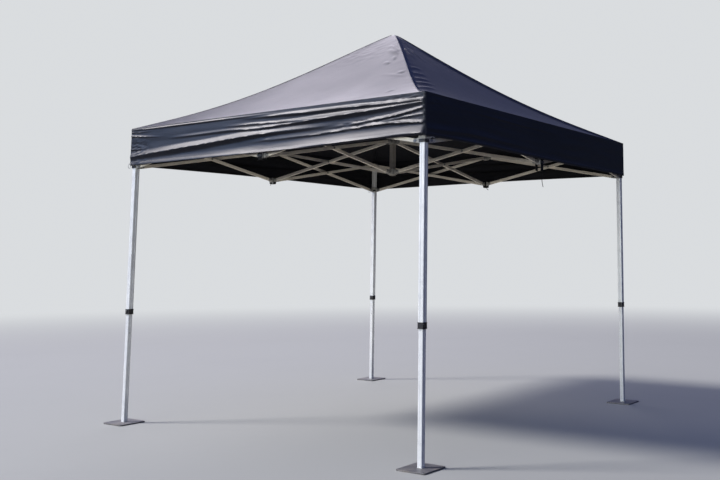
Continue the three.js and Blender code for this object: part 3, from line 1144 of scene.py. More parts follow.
def makeFootPlate(corner, place):
    look = footLook
    side, thick = look["side"], look["thickness"]
    at = side / 2 - look["holeInset"]
    holes = []
    for x in (-at, at):
        for y in (-at, at):
            holes.append([(x + a, y + b) for a, b in circle(look["holeRadius"], 16)])
    bm = bmesh.new()
    plateWithHoles(bm, profile(side, side, look["corner"], steps=6), holes, 0, thick)
    spigot, top = look["spigotSide"], look["spigotTop"]
    narrower, lower = look["spigotChamfer"]
    levels = [(spigot, thick - 0.001), (spigot, top - lower), (spigot - narrower, top)]
    loft(bm, [ringAt(profile(wide, wide, look["spigotCorner"]), z) for wide, z in levels])
    node = f"{corner}_foot_plate"
    finishPiece(bm, node, f"{corner}_foot", [plateSteel], [node], place, look["edge"])


for quarter, corner in enumerate(corners):
    cornerPlace = quarterTurn(quarter) @ Matrix.Translation((-wallAt, -wallAt, 0))
    makeOuterLeg(corner, cornerPlace)
    makeInnerLeg(corner, cornerPlace)
    makeLock(corner, cornerPlace)
    makeSlider(corner, cornerPlace)
    makePull(corner, cornerPlace)
    makeFootPlate(corner, cornerPlace)
print("legs ready")


# Straps: webbing looped round each lower mid bracket, with a loose tail

strapLook = {
    "width": 0.036,
    "thickness": 0.0020,
    "beside": 0.0045,             # from the bracket to the middle of the webbing, at its sides and over it
    "over": 0.004,
    "corner": 0.012,
    "droop": {"front": 0.052, "right": 0.016, "back": 0.014, "left": 0.012},  # under the bracket
    "buckle": (0.044, 0.005, 0.016),
    "buckleZ": -0.004,
    "tails": {"front": 0.135, "right": 0.03, "back": 0.02, "left": 0.02},
    "tailFrom": 0.010,            # start of the loose tail over the loop's lower end
    "tailRadius": 0.0024,
    "tailSway": 0.012,
}


def makeStrap(side, quarter):
    look = strapLook
    reach = bracketLook["midHalf"] + look["beside"]
    top = bracketLook["halfHeight"] + look["over"]
    bottom = -bracketLook["halfHeight"] - look["droop"][side]
    path = []
    for across, z in profile(2 * reach, top - bottom, look["corner"], steps=5):
        path.append(Vector((0, across, z + (top + bottom) / 2)))
    wide, thick = look["width"] / 2, look["thickness"] / 2
    section = [(-wide, -thick), (wide, -thick), (wide, thick), (-wide, thick)]
    bm = bmesh.new()
    clothAt = bm.verts.layers.float_vector.new("clothAt")
    made = sweep(bm, path, section, Vector((1, 0, 0)), closed=True)
    run = 0.0
    for index, ring in enumerate(made):
        run += (path[index] - path[index - 1]).length if index else 0.0
        for vert, (across, _) in zip(ring, section):
            vert[clothAt] = (across, run, 0)
    # Sliding buckle on the outer run, and the loose tail under it
    boxAt(bm, (0, -reach - 0.002, look["buckleZ"]), look["buckle"], paint=1)
    tail = []
    for step in range(13):
        share = step / 12
        sway = look["tailSway"] * math.sin(share * 4.2) * share
        z = bottom + look["tailFrom"] - look["tails"][side] * share
        tail.append(Vector((sway * 0.6, -reach - 0.001 + sway, z)))
    sweep(bm, tail, circle(look["tailRadius"], 8), Vector((1, 0, 0)))
    place = quarterTurn(quarter) @ Matrix.Translation((0, -wallAt, lowerZ))
    body, materials = f"{side}_mid_lower", [webbing, lockPlastic]
    finishPiece(bm, f"{side}_strap", body, materials, (), place, flatBelow=60)


for quarter, side in enumerate(sides):
    makeStrap(side, quarter)
print("straps ready")


# Canopy. The roof is one sheet from hem to hem over the peak, and each valance hangs from its edge.

canopyLook = {
    "cornerRadius": 0.018,
    "fineColumns": 27,            # over the last stretch of a side before each corner
    "fineStretch": 0.30,
    "midColumns": 86,
    "cornerColumns": 4,
    "rings": 148,
    "peakRound": 0.012,
    "valanceRows": 58,
    "liningRows": 26,
    "pipingRadius": 0.0020,
    "pipingFrom": 0.012,          # where the piping of a hip starts, as a share of the way out from the peak
    "pipingSteps": 70,
    "clothStep": 3.2,             # each side reads its own stretch of the cloth's pattern
    "offSeam": 0.05,              # seam distance given to piping, which has no stitches
    "pleats": 12,                 # folds per side when the frame is closed
    "pleatShare": 0.07,
}

# How far each hip hangs below a straight line, as a share of the rise, and where it hangs most
hipSag = {
    "front_left": (0.110, 1.94),
    "front_right": (0.084, 1.00),
    "back_right": (0.090, 1.30),
    "back_left": (0.095, 1.20),
}
panelSag = {"front": 0.020, "right": 0.024, "back": 0.024, "left": 0.016}  # in the middle of each panel


def smooth(value):
    value = min(1.0, max(0.0, value))
    return value * value * (3 - 2 * value)


# Places along a side, from its middle, where the grid has a column
def sideColumns(look):
    straight = eaveAt - look["cornerRadius"]
    inner = straight - look["fineStretch"]
    half = [inner * 2 * i / look["midColumns"] for i in range(look["midColumns"] // 2)]
    half += [inner + look["fineStretch"] * i / look["fineColumns"] for i in range(look["fineColumns"] + 1)]
    arc = look["cornerRadius"] * math.pi / 4
    half += [straight + arc * (i + 1) / look["cornerColumns"] for i in range(look["cornerColumns"])]
    return [-along for along in half[:0:-1]] + half


columns = sideColumns(canopyLook)
halfRun = columns[-1]


# Point of a square with round corners, seen from above, on the side that faces -Y
def outlinePoint(along, reach, radius):
    share = along / halfRun
    total = reach - radius + radius * math.pi / 4
    run = abs(share) * total
    if run <= reach - radius:
        x, out = run, reach
    else:
        turn = (run - reach + radius) / radius
        x = reach - radius + radius * math.sin(turn)
        out = reach - radius + radius * math.cos(turn)
    return math.copysign(x, share) if share else 0.0, out


def hipHeight(corner, share):
    depth, lean = hipSag[corner]
    blunt = canopyLook["peakRound"]
    rounded = (math.hypot(share, blunt) - blunt) / (math.hypot(1, blunt) - blunt)
    return 1 - rounded - depth * math.sin(math.pi * min(1.0, rounded) ** lean)


def wave(x, y, z=0.0):
    return noise.noise(Vector((x, y, z)))


# Creases of the roof cloth: soft rolls over the panel, short crumples beside the hips and at the peak, and
# the dip beside each hip seam of the front and back panels, where the cloth hangs off the seam
creaseLook = {
    "roll": 0.0020,
    "beside": {"front": 0.0045, "right": 0.0035, "back": 0.0040, "left": 0.0018},
    "besideReach": 0.10,
    "peak": 0.0035,
    "eave": 0.0022,
    "dip": 0.016,
    "dipReach": (0.036, 0.066),   # from the hip to the deepest line, at the eave and at the peak
    "dipFall": 0.35,              # over this the cloth comes back up
}

# Single wrinkles of each panel: ends as (along the side, out from the mast), half width and height
panelWrinkles = {
    "left": [
        ((0.17, 0.27), (0.42, 0.45), 0.018, 0.0130),
        ((0.23, 0.36), (0.46, 0.50), 0.016, 0.0110),
        ((0.38, 0.58), (0.48, 0.63), 0.014, 0.0060),
        ((0.42, 0.51), (0.49, 0.58), 0.014, 0.0050),
        ((0.69, 0.80), (0.78, 0.82), 0.014, 0.0050),
        ((0.52, 0.78), (0.86, 0.89), 0.015, 0.0026),
        ((0.88, 1.17), (0.94, 1.11), 0.014, 0.0060),
        ((-0.38, 0.52), (-0.24, 1.05), 0.150, 0.0016),
    ],
    "front": [
        ((0.03, 0.02), (-0.06, 0.22), 0.018, 0.0070),
        ((-0.20, 0.24), (-0.31, 0.48), 0.022, 0.0110),
        ((-0.10, 0.24), (-0.16, 0.44), 0.020, 0.0090),
        ((-0.66, 0.69), (-0.46, 0.66), 0.014, 0.0060),
        ((-0.76, 0.79), (-0.52, 0.75), 0.015, 0.0075),
        ((-0.85, 0.88), (-0.58, 0.84), 0.015, 0.0085),
        ((-0.93, 0.96), (-0.62, 0.90), 0.016, 0.0090),
        ((-1.02, 1.05), (-0.70, 0.99), 0.016, 0.0085),
        ((-1.12, 1.15), (-0.82, 1.09), 0.015, 0.0070),
        ((-1.22, 1.26), (-0.98, 1.21), 0.015, 0.0055),
    ],
    "right": [((-0.55, 0.60), (-0.30, 0.50), 0.018, 0.005), ((0.60, 0.72), (0.38, 0.60), 0.016, 0.004)],
    "back": [((-0.80, 0.90), (-0.50, 0.80), 0.016, 0.004), ((0.35, 0.42), (0.12, 0.30), 0.018, 0.005)],
}


# Height of one wrinkle at a point: a ridge that fades out toward both ends
def wrinkleAt(x, d, start, end, wide, tall):
    (x0, d0), (x1, d1) = start, end
    run = (x1 - x0) ** 2 + (d1 - d0) ** 2
    along = ((x - x0) * (x1 - x0) + (d - d0) * (d1 - d0)) / run
    away = abs((x - x0) * (d1 - d0) - (d - d0) * (x1 - x0)) / math.sqrt(run)
    if not 0 < along < 1 or away >= wide * 3:
        return 0.0
    return tall * math.exp(-((away / wide) ** 2)) * math.sin(math.pi * along)


def roofCrease(quarter, across, share):
    look = creaseLook
    side = sides[quarter]
    x, d = across * share * eaveAt, share * eaveAt
    fromHip = (1 - abs(across)) * share * eaveAt
    fromEave = (1 - share) * eaveAt
    inside = smooth(share / 0.2) * smooth(fromEave / 0.18)
    crease = look["roll"] * wave(x * 1.6, d * 1.4, quarter * 7.3) * inside
    lines = wave(x * 5 + 40, d * 27 + x * 3, quarter * 3.1 + 2)
    beside = look["beside"][side] * math.exp(-fromHip / look["besideReach"])
    crease += beside * lines * smooth(share / 0.08) * smooth(fromEave / 0.05)
    atPeak = look["peak"] * wave(x * 13, d * 24, quarter * 5.7 + 9)
    crease += atPeak * math.exp(-(((share - 0.2) / 0.11) ** 2))
    atEave = look["eave"] * wave(x * 7, d * 16, quarter + 20)
    crease += atEave * math.exp(-fromEave / 0.10) * smooth(fromEave / 0.02)
    for wrinkle in panelWrinkles[side]:
        crease += wrinkleAt(x, d, *wrinkle)
    crease *= smooth(fromHip / 0.01)
    if quarter % 2 == 0:
        near, far = look["dipReach"]
        reach = near + (far - near) * (1 - share)
        fall = math.exp(-max(0.0, fromHip - reach) / look["dipFall"])
        dip = look["dip"] * min(1.0, fromHip / reach) * fall
        crease -= dip * smooth((share - 0.03) / 0.15) * smooth(fromEave / 0.07)
    return crease


def roofPoint(quarter, along, share):
    look = canopyLook
    reach = share * eaveAt
    radius = max(1e-5, look["cornerRadius"] * smooth((share - 0.9) / 0.1))
    x, out = outlinePoint(along, reach, radius)
    across = along / halfRun
    left, right = corners[quarter], corners[(quarter + 1) % 4]
    toRight = (1 + across) / 2
    climb = hipHeight(left, share) * (1 - toRight) + hipHeight(right, share) * toRight
    sag = panelSag[sides[quarter]] * (1 - across ** 2) * math.sin(math.pi * share ** 1.2)
    z = eaveZ + (peakZ - eaveZ) * climb - sag + roofCrease(quarter, across, share)
    return quarterTurn(quarter) @ Vector((x, -out, z))


# Share of the way in by which cloth at a place stays behind when the frame closes, which makes the pleats
def pleatAt(x, y):
    look = canopyLook
    reach = max(abs(x), abs(y), 1e-6)
    across = min(1.0, min(abs(x), abs(y)) / reach)
    if abs(x) == abs(y):
        return 0.0
    signed = across if (x if abs(y) >= abs(x) else y) >= 0 else -across
    beat = 0.5 - 0.5 * math.cos(2 * math.pi * look["pleats"] * (signed + 1) / 2)
    return look["pleatShare"] * min(1.0, reach / eaveAt) * beat * smooth((1 - across) / 0.1)


def addHook(piece, body, weights):
    group = piece.vertex_groups.new(name=body)
    for index, weight in weights:
        if weight > 1e-6:
            group.add([index], weight, "REPLACE")
    hook = piece.modifiers.new(f"follow_{body}", "HOOK")
    hook.object = frame["bodies"][body]
    hook.vertex_group = body
    hook.falloff_type = "NONE"
    hook.matrix_inverse = frame["bodies"][body].matrix_world.inverted() @ piece.matrix_world


def outwardAt(point):
    return Vector((point.x, point.y, 0)).normalized()


def makeRoof():
    look = canopyLook
    bm = bmesh.new()
    clothAt = bm.verts.layers.float_vector.new("clothAt")
    seamAt = bm.verts.layers.float.new("seamAt")
    slant = math.hypot(eaveAt, peakZ - eaveZ)
    grid = []
    for number in range(look["rings"]):
        share = 1 - number / look["rings"]
        ring = []
        for quarter in range(4):
            for along in columns[:-1]:
                vert = bm.verts.new(roofPoint(quarter, along, share))
                across = along / halfRun
                x = across * share * eaveAt + quarter * look["clothStep"]
                vert[clothAt] = (x, share * slant, 0)
                vert[seamAt] = min((1 - abs(across)) * share * eaveAt, (1 - share) * slant)
                ring.append(vert)
        grid.append(ring)
    bridge(bm, grid)
    peak = bm.verts.new((0, 0, roofPoint(0, 0, 0).z))
    peak[seamAt] = look["offSeam"]
    last = grid[-1]
    for i, vert in enumerate(last):
        bm.faces.new((vert, last[(i + 1) % len(last)], peak))

    # Piping over each hip and round the eaves
    radius, start, steps = look["pipingRadius"], look["pipingFrom"], look["pipingSteps"]
    lift = Vector((0, 0, radius * 0.3))
    for quarter in range(4):
        shares = [start + (1 - start) * i / steps for i in range(steps + 1)]
        path = [roofPoint(quarter, columns[0], share) + lift for share in shares]
        across = quarterTurn(quarter) @ Vector((1, -1, 0)).normalized()
        for ring in sweep(bm, path, circle(radius, 8), across):
            for vert in ring:
                vert[clothAt] = (vert.co.x, vert.co.y, 0)
                vert[seamAt] = look["offSeam"]
    edge = []
    for quarter in range(4):
        edge += [roofPoint(quarter, along, 1.0) for along in columns[:-1]]
    for ring in sweep(bm, edge, circle(radius * 0.8, 6), outwardAt, closed=True):
        for vert in ring:
            vert[clothAt] = (vert.co.x + vert.co.y, vert.co.z, 0)
            vert[seamAt] = look["offSeam"]

    # The cloth of each side follows its upper mid bracket in, and the pleats stay behind a little
    roof = finishPiece(bm, "canopy_roof", "centre", [fabric], ["roof"], flatBelow=28)
    outward = {"front": (0, -1), "right": (1, 0), "back": (0, 1), "left": (-1, 0)}
    for side, (sx, sy) in outward.items():
        weights = []
        for vert in roof.data.vertices:
            x, y = vert.co.x, vert.co.y
            reach = x * sx + y * sy
            share = min(1.0, max(0.0, reach) / eaveAt)
            if reach >= max(abs(x), abs(y)) - 1e-6:
                share -= pleatAt(x, y)
            weights.append((vert.index, share))
        addHook(roof, f"{side}_mid_upper", weights)


makeRoof()
print("roof ready")


# Folds of each valance, seen from outside: u runs from the side's left corner to its right corner, and
# heights are over the lower edge. Cloth slopes out over "above" down to the crest, and tucks in over "below".
def fold(crest, out, above, below):
    return {"crest": crest, "out": out, "above": above, "below": below}


valanceFolds = {
    "left": [
        fold([(0, 0.283), (0.3, 0.281), (0.6, 0.278)], [(0, 0.006), (0.4, 0.007), (0.6, 0.0)], 0.012, 0.008),
        fold([(0.45, 0.264), (0.6, 0.258), (0.75, 0.254), (0.85, 0.250), (1, 0.242)],
             [(0.42, 0.0), (0.55, 0.009), (0.68, 0.015), (0.85, 0.016), (1, 0.010)],
             0.022, [(0.5, 0.012), (0.7, 0.020), (0.85, 0.019), (1, 0.008)]),
        fold([(0.38, 0.222), (0.5, 0.215), (0.6, 0.208), (0.72, 0.206)],
             [(0.36, 0.0), (0.5, 0.007), (0.62, 0.006), (0.74, 0.0)], 0.018, 0.010),
        fold([(0.15, 0.186), (0.3, 0.189), (0.4, 0.188), (0.5, 0.180), (0.6, 0.187), (0.7, 0.196),
              (0.8, 0.206), (0.9, 0.216), (1, 0.232)],
             [(0.15, 0.0), (0.25, 0.005), (0.42, 0.008), (0.52, 0.013), (0.65, 0.019), (0.85, 0.019),
              (1, 0.012)],
             [(0.2, 0.020), (0.45, 0.024), (0.6, 0.036), (0.9, 0.032), (1, 0.022)],
             [(0.3, 0.012), (0.5, 0.014), (0.65, 0.020), (0.8, 0.026), (1, 0.028)]),
        fold([(0, 0.060), (0.05, 0.072), (0.1, 0.081), (0.2, 0.092), (0.3, 0.107), (0.4, 0.124),
              (0.5, 0.134), (0.6, 0.138), (0.75, 0.144)],
             [(0, 0.012), (0.1, 0.022), (0.35, 0.024), (0.5, 0.020), (0.62, 0.011), (0.75, 0.0)],
             0.044, [(0, 0.024), (0.15, 0.034), (0.35, 0.032), (0.5, 0.022), (0.7, 0.016)]),
        fold([(0, 0.002), (0.5, 0.003), (0.8, 0.010), (1, 0.012)],
             [(0, 0.006), (0.2, 0.012), (0.5, 0.017), (0.8, 0.021), (1, 0.016)],
             [(0, 0.030), (0.3, 0.052), (0.6, 0.064), (0.85, 0.072), (1, 0.064)], 0.020),
        fold([(0.48, 0.084), (0.7, 0.089), (0.87, 0.103), (0.95, 0.098), (1, 0.088)],
             [(0.46, 0.0), (0.6, 0.005), (0.78, 0.009), (0.9, 0.015), (1, 0.010)], 0.026, 0.008),
        fold([(0.7, 0.122), (0.8, 0.131), (0.87, 0.142), (0.93, 0.160), (1, 0.192)],
             [(0.7, 0.0), (0.8, 0.006), (0.9, 0.012), (1, 0.010)], 0.022, 0.012),
        fold([(0.80, 0.114), (0.9, 0.128), (1, 0.146)],
             [(0.80, 0.0), (0.92, 0.006), (1, 0.007)], 0.018, 0.012),
        fold([(0, 0.236), (0.05, 0.222), (0.11, 0.209)],
             [(0, 0.007), (0.06, 0.005), (0.13, 0.0)], 0.014, 0.008),
        fold([(0, 0.120), (0.05, 0.126)], [(0, 0.006), (0.07, 0.0)], 0.012, 0.008),
        fold([(0, 0.268), (0.04, 0.262), (0.10, 0.262)],
             [(0, 0.004), (0.05, 0.003), (0.10, 0.0)], 0.008, 0.006),
    ],
    "front": [
        fold([(0.15, 0.236), (0.35, 0.231), (0.55, 0.228)],
             [(0.12, 0.0), (0.3, 0.0028), (0.58, 0.0)], 0.030, 0.012),
        fold([(0, 0.05), (0.2, 0.07), (0.5, 0.06)], [(0, 0.004), (0.25, 0.004), (0.5, 0.0)], 0.050, 0.030),
        fold([(0, 0.012), (1, 0.012)], [(0, 0.002), (0.3, 0.004), (1, 0.002)], 0.045, 0.02),
    ],
    "right": [
        fold([(0, 0.21), (0.3, 0.19), (0.7, 0.20)], [(0, 0.010), (0.4, 0.012), (0.7, 0.0)], 0.034, 0.016),
        fold([(0.15, 0.10), (0.5, 0.12), (1, 0.15)], [(0.15, 0.0), (0.5, 0.012), (1, 0.012)], 0.038, 0.016),
        fold([(0, 0.016), (1, 0.014)], [(0, 0.010), (0.5, 0.013), (1, 0.008)], 0.050, 0.022),
        fold([(0.6, 0.25), (1, 0.235)], [(0.6, 0.0), (0.8, 0.009), (1, 0.008)], 0.024, 0.012),
    ],
    "back": [
        fold([(0, 0.24), (0.4, 0.22), (0.75, 0.23)], [(0, 0.008), (0.4, 0.010), (0.75, 0.0)], 0.030, 0.014),
        fold([(0.2, 0.14), (0.6, 0.11), (1, 0.12)], [(0.2, 0.0), (0.6, 0.014), (1, 0.010)], 0.040, 0.016),
        fold([(0, 0.016), (1, 0.012)], [(0, 0.008), (0.6, 0.014), (1, 0.010)], 0.048, 0.022),
        fold([(0, 0.09), (0.3, 0.08)], [(0, 0.010), (0.35, 0.0)], 0.030, 0.014),
    ],
}

# Places where the cloth is crushed small: u, height, half spans in u and height, and depth
valanceCrumples = {
    "left": [
        (0.84, 0.130, 0.09, 0.032, 0.0042),
        (0.52, 0.150, 0.022, 0.080, 0.0034),
        (0.97, 0.275, 0.08, 0.016, 0.0030),
        (0.02, 0.100, 0.05, 0.100, 0.0030),
    ],
    "front": [(0.02, 0.250, 0.05, 0.040, 0.0010)],
    "right": [
        (0.03, 0.150, 0.05, 0.120, 0.0028),
        (0.55, 0.160, 0.04, 0.080, 0.0020),
        (0.97, 0.200, 0.05, 0.090, 0.0030),
    ],
    "back": [
        (0.03, 0.200, 0.05, 0.090, 0.0030),
        (0.48, 0.150, 0.03, 0.090, 0.0020),
        (0.97, 0.120, 0.05, 0.100, 0.0028),
    ],
}

# How far the lower edge is drawn up along each side
hemRise = {
    "left": [(0, 0.0), (0.5, 0.002), (0.7, 0.007), (0.9, 0.021), (1, 0.019)],
    "front": [(0, 0.016), (0.17, 0.020), (0.5, 0.006), (1, 0.0)],
    "right": [(0, 0.002), (0.4, 0.010), (1, 0.004)],
    "back": [(0, 0.004), (0.6, 0.012), (1, 0.0)],
}


# Smooth curve through a few (place, value) points
def curveAt(points, u):
    if u <= points[0][0]:
        return points[0][1]
    if u >= points[-1][0]:
        return points[-1][1]
    index = max(i for i, point in enumerate(points) if point[0] <= u)
    (u0, v0), (u1, v1) = points[index], points[index + 1]
    before = points[max(0, index - 1)]
    after = points[min(len(points) - 1, index + 2)]
    slope0 = (v1 - before[1]) / (u1 - before[0])
    slope1 = (after[1] - v0) / (after[0] - u0)
    t = (u - u0) / (u1 - u0)
    span = u1 - u0
    return (
        (2 * t ** 3 - 3 * t ** 2 + 1) * v0
        + (t ** 3 - 2 * t ** 2 + t) * span * slope0
        + (3 * t ** 2 - 2 * t ** 3) * v1
        + (t ** 3 - t ** 2) * span * slope1
    )


foldLook = {
    "sharpAbove": 1.35,           # how sharply the cloth leaves a crest, over it and under it
    "sharpBelow": 1.25,
    "wander": 0.003,              # of a crest from its curve
    "lively": 0.3,                # change of a fold's height along it
    "ripple": 0.0016,
    "inward": 0.004,              # furthest behind the flat cloth
    "topPinned": 0.010,           # over this the folds fade out under the eave
    "endPinned": 0.006,           # and over this share of the side at its corners
}


# How far the cloth of a valance stands out at a place, over the flat sheet
def valanceOut(side, quarter, u, height, drop):
    look = foldLook
    out = 0.0
    for number, line in enumerate(valanceFolds[side]):
        size = curveAt(line["out"], u)
        if size <= 0:
            continue
        wander = look["wander"] * wave(u * 11, number * 5.1, quarter + 0.3)
        offset = height - curveAt(line["crest"], u) - wander
        width, sharp = line["below"], look["sharpBelow"]
        if offset > 0:
            width, sharp = line["above"], look["sharpAbove"]
        away = abs(offset) / (width if isinstance(width, float) else curveAt(width, u))
        if away < 1:
            lively = 1 + look["lively"] * wave(u * 7 + number * 3.3, number, quarter + 0.5)
            out += size * lively * (1 - away) ** sharp
    for middle, level, wide, tall, depth in valanceCrumples[side]:
        near = math.exp(-(((u - middle) / wide) ** 2) - ((height - level) / tall) ** 2)
        if near > 0.02:
            out += depth * near * 2 * wave(u * 70, height * 60 - u * 30, quarter * 2 + middle)
    out += look["ripple"] * wave(u * 9, height * 20, quarter + 4)
    pinned = smooth((drop - height) / look["topPinned"])
    corner = smooth(min(u, 1 - u) / look["endPinned"])
    return max(-look["inward"], out) * pinned * corner


clothLook = {
    "thickness": 0.0011,
    "hem": 0.024,
    "hemThickness": 0.0026,
    "hemStep": 0.002,             # over this the hem gets its thickness, and the seam sinks
    "seamSink": 0.0008,
    "turnedOver": 0.012,          # sewn into the eave
    "gathered": 0.03,             # width taken up by the folds
}


# Half the thickness at a height over the lower edge: thicker in the hem, and drawn in at its seam
def halfThickness(height):
    look = clothLook
    inHem = smooth((look["hem"] - height) / look["hemStep"])
    thick = look["thickness"] + (look["hemThickness"] - look["thickness"]) * inHem
    sink = look["seamSink"] * math.exp(-(((height - look["hem"]) / look["hemStep"]) ** 2))
    return thick / 2 - sink


def makeValance(side, quarter):
    look, cloth = canopyLook, clothLook
    drop = eaveZ - hemZ
    bm = bmesh.new()
    clothAt = bm.verts.layers.float_vector.new("clothAt")
    seamAt = bm.verts.layers.float.new("seamAt")
    liningAt = bm.verts.layers.float.new("liningAt")
    rest = []
    rings = []
    rows = [1 - i / (look["valanceRows"] - 1) for i in range(look["valanceRows"])]
    lining = [i / (look["liningRows"] - 1) for i in range(look["liningRows"])]
    for along in columns:
        u = (along / halfRun + 1) / 2
        x, out = outlinePoint(along, eaveAt, look["cornerRadius"])
        turn = max(0.0, abs(along) - eaveAt + look["cornerRadius"]) / look["cornerRadius"]
        facing = Vector((math.copysign(math.sin(turn), along), -math.cos(turn), 0))
        rise = curveAt(hemRise[side], u)
        ring = []
        for layer, levels in ((1, rows), (-1, lining)):
            for level in levels:
                height = level * drop
                base = Vector((x, -out, hemZ + height + rise * (1 - level) ** 1.5))
                proud = valanceOut(side, quarter, u, height, drop) + layer * halfThickness(height)
                vert = bm.verts.new(base + facing * proud)
                vert[clothAt] = (along + quarter * look["clothStep"], height, 0)
                vert[seamAt] = min(abs(height - cloth["hem"]) + 0.004, abs(halfRun - abs(along)))
                vert[liningAt] = 1.0 if layer < 0 and height > 0.004 else 0.0
                ring.append(vert)
                rest.append((x, -out))
        rings.append(ring)
    bridge(bm, rings)
    bm.faces.new(rings[0][::-1])
    bm.faces.new(rings[-1])

    # Toward its ends the cloth follows the corner legs as well, and the pleats stay behind a little
    name, body, place = f"{side}_valance_cloth", f"{side}_mid_upper", quarterTurn(quarter)
    piece = finishPiece(bm, name, body, [fabric], [f"{side}_valance"], place, flatBelow=50)
    for corner, sign in ((corners[quarter], -1), (corners[(quarter + 1) % 4], 1)):
        weights = [(i, max(0.0, sign * x) / eaveAt) for i, (x, y) in enumerate(rest)]
        addHook(piece, f"{corner}_leg", weights)
    weights = [(i, 1 - min(1.0, abs(y) / eaveAt) + pleatAt(x, y)) for i, (x, y) in enumerate(rest)]
    addHook(piece, "centre", weights)


for quarter, side in enumerate(sides):
    makeValance(side, quarter)
print("valances ready")


# Floor, lights and backdrop

stageLook = {
    "floorColour": (0.43, 0.44, 0.41),
    "floorMirrored": (0.09, 0.088, 0.088),  # what the canopy and the metal see of the floor
    "floorDust": {"Scale": 0.8, "Cover": 0.5, "Amount": 0.25},
    "floorDarker": 0.9,
    "floorShader": {"Specular IOR Level": 0.2, "Roughness": 0.8},
    "floorSide": 160.0,
    "floorFade": (7.0, 18.0),     # distances between which the floor turns into the backdrop
    "backdrop": (0.70, 0.72, 0.74),
    "sky": (0.045, 0.070, 0.24),  # light from above
    "wall": (0.026, 0.034, 0.048),  # light from the sides
    "skyline": (0.14, 0.46),      # rise over the horizon, as a sine, between wall and sky
    "sunTo": (-0.42, 0.60, 0.68),
    "sunStrength": 3.0,
    "sunAngle": 12.0,
    "sunColour": (1.0, 0.96, 0.97),
    "panelsFace": (0, 0, 2.4),    # the middle of the roof
    "panels": {
        # behind the roof, mirrored by its left side
        "rear": {"place": (7.85, 9.55, 12.8), "size": (8, 7), "power": 700, "colour": (0.96, 0.91, 1)},
        # left of that, mirrored by the folds on the left
        "rim": {"place": (-3.3, 9.8, 10.4), "size": (9, 5), "power": 330, "colour": (1, 0.94, 0.99)},
        # lower, mirrored by the flat cloth on the left
        "cool": {"place": (-9.9, 9.3, 5.8), "size": (5, 4), "power": 190, "colour": (0.35, 0.55, 1)},
        # low on the left, for the frame under the roof
        "fill": {"place": (-17.0, -3.2, 3.6), "size": (13, 4), "power": 850, "colour": (0.84, 0.92, 1)},
        # beside it, for the legs' left faces
        "legs": {"place": (-17.0, 1.0, 3.6), "size": (13, 4), "power": 850, "colour": (1, 0.99, 0.87)},
        # weak, on the floor under the roof, for the bars
        "under": {"place": (0, 0, 0.03), "size": (2.4, 2.4), "power": 27, "colour": (1, 0.96, 0.84)},
    },
    "notMirrored": ("legs", "under"),
}


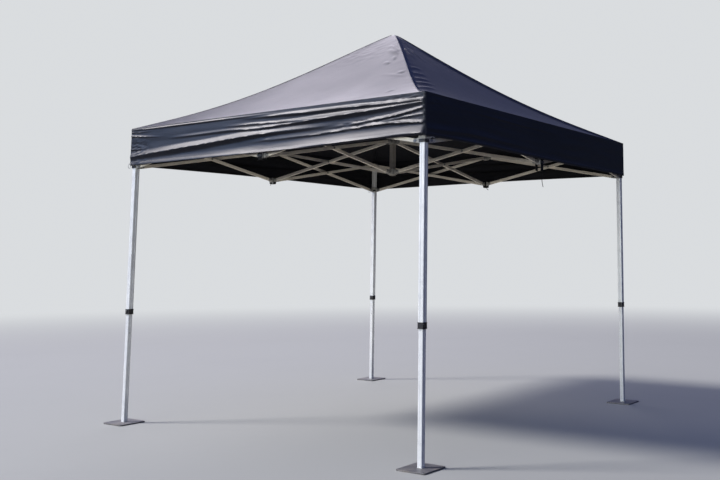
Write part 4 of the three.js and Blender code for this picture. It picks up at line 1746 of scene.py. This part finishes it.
def makeFloor(look):
    bm = bmesh.new()
    half = look["floorSide"] / 2
    ends = ((-half, -half), (half, -half), (half, half), (-half, half))
    bm.faces.new([bm.verts.new((x, y, 0)) for x, y in ends])
    mesh = bpy.data.meshes.new("floor")
    bm.to_mesh(mesh)
    bm.free()
    material, tree, shader = startMaterial("studioFloor", look["floorShader"])
    place = addNode(tree, "ShaderNodeTexCoord").outputs["Object"]
    dust = placeGroup(tree, "dust", look["floorDust"], place)
    darker = tuple(value * look["floorDarker"] for value in look["floorColour"])
    shown = mixColour(tree, dust.outputs["Mask"], look["floorColour"], darker)
    seen = addNode(tree, "ShaderNodeLightPath").outputs["Is Camera Ray"]
    tree.links.new(mixColour(tree, seen, look["floorMirrored"], shown), shader.inputs["Base Color"])
    length = addNode(tree, "ShaderNodeVectorMath", operation="LENGTH")
    tree.links.new(place, length.inputs[0])
    near, far = look["floorFade"]
    fade = addNode(
        tree,
        "ShaderNodeMapRange",
        {"From Min": near, "From Max": far},
        interpolation_type="SMOOTHSTEP",
    )
    join(tree, length, "Value", fade, "Value")
    backdrop = addNode(tree, "ShaderNodeEmission", {"Color": (*look["backdrop"], 1.0), "Strength": 1.0})
    mix = addNode(tree, "ShaderNodeMixShader")
    tree.links.new(mathNode(tree, "MULTIPLY", fade.outputs["Result"], seen), mix.inputs[0])
    tree.links.new(shader.outputs[0], mix.inputs[1])
    tree.links.new(backdrop.outputs[0], mix.inputs[2])
    tree.links.new(mix.outputs[0], tree.nodes["Material Output"].inputs["Surface"])
    mesh.materials.append(material)
    floor = bpy.data.objects.new("floor", mesh)
    bpy.context.scene.collection.objects.link(floor)


def makeWorld(look):
    world = bpy.data.worlds.new("studio")
    bpy.context.scene.world = world
    world.use_nodes = True
    tree = world.node_tree
    ambient = tree.nodes["Background"]
    apart = addNode(tree, "ShaderNodeSeparateXYZ")
    join(tree, addNode(tree, "ShaderNodeTexCoord"), "Generated", apart, "Vector")
    rise = spread(tree, apart.outputs["Z"], 0.0, 1.0, *look["skyline"])
    tree.links.new(mixColour(tree, rise, look["wall"], look["sky"]), ambient.inputs["Color"])
    shown = addNode(tree, "ShaderNodeBackground", {"Color": (*look["backdrop"], 1.0), "Strength": 1.0})
    path = addNode(tree, "ShaderNodeLightPath")
    mix = addNode(tree, "ShaderNodeMixShader")
    join(tree, path, "Is Camera Ray", mix, 0)
    tree.links.new(ambient.outputs[0], mix.inputs[1])
    tree.links.new(shown.outputs[0], mix.inputs[2])
    tree.links.new(mix.outputs[0], tree.nodes["World Output"].inputs["Surface"])


def aimLight(name, kind, place, target):
    data = bpy.data.lights.new(name, kind)
    light = bpy.data.objects.new(name, data)
    bpy.context.scene.collection.objects.link(light)
    light.location = place
    light.rotation_euler = (Vector(target) - Vector(place)).to_track_quat("-Z", "Y").to_euler()
    light.visible_camera = False
    return light


def makeLights(look):
    sun = aimLight("keySun", "SUN", Vector(look["sunTo"]) * 20, (0, 0, 0)).data
    sun.energy = look["sunStrength"]
    sun.angle = math.radians(look["sunAngle"])
    sun.color = look["sunColour"]
    for name, panelLook in look["panels"].items():
        light = aimLight(f"{name}Panel", "AREA", panelLook["place"], look["panelsFace"])
        light.visible_glossy = name not in look["notMirrored"]
        panel = light.data
        panel.shape = "RECTANGLE"
        panel.size, panel.size_y = panelLook["size"]
        panel.energy = panelLook["power"]
        panel.color = panelLook["colour"]


makeFloor(stageLook)
makeWorld(stageLook)
makeLights(stageLook)
bpy.context.scene.view_settings.view_transform = "Standard"
print("stage ready")
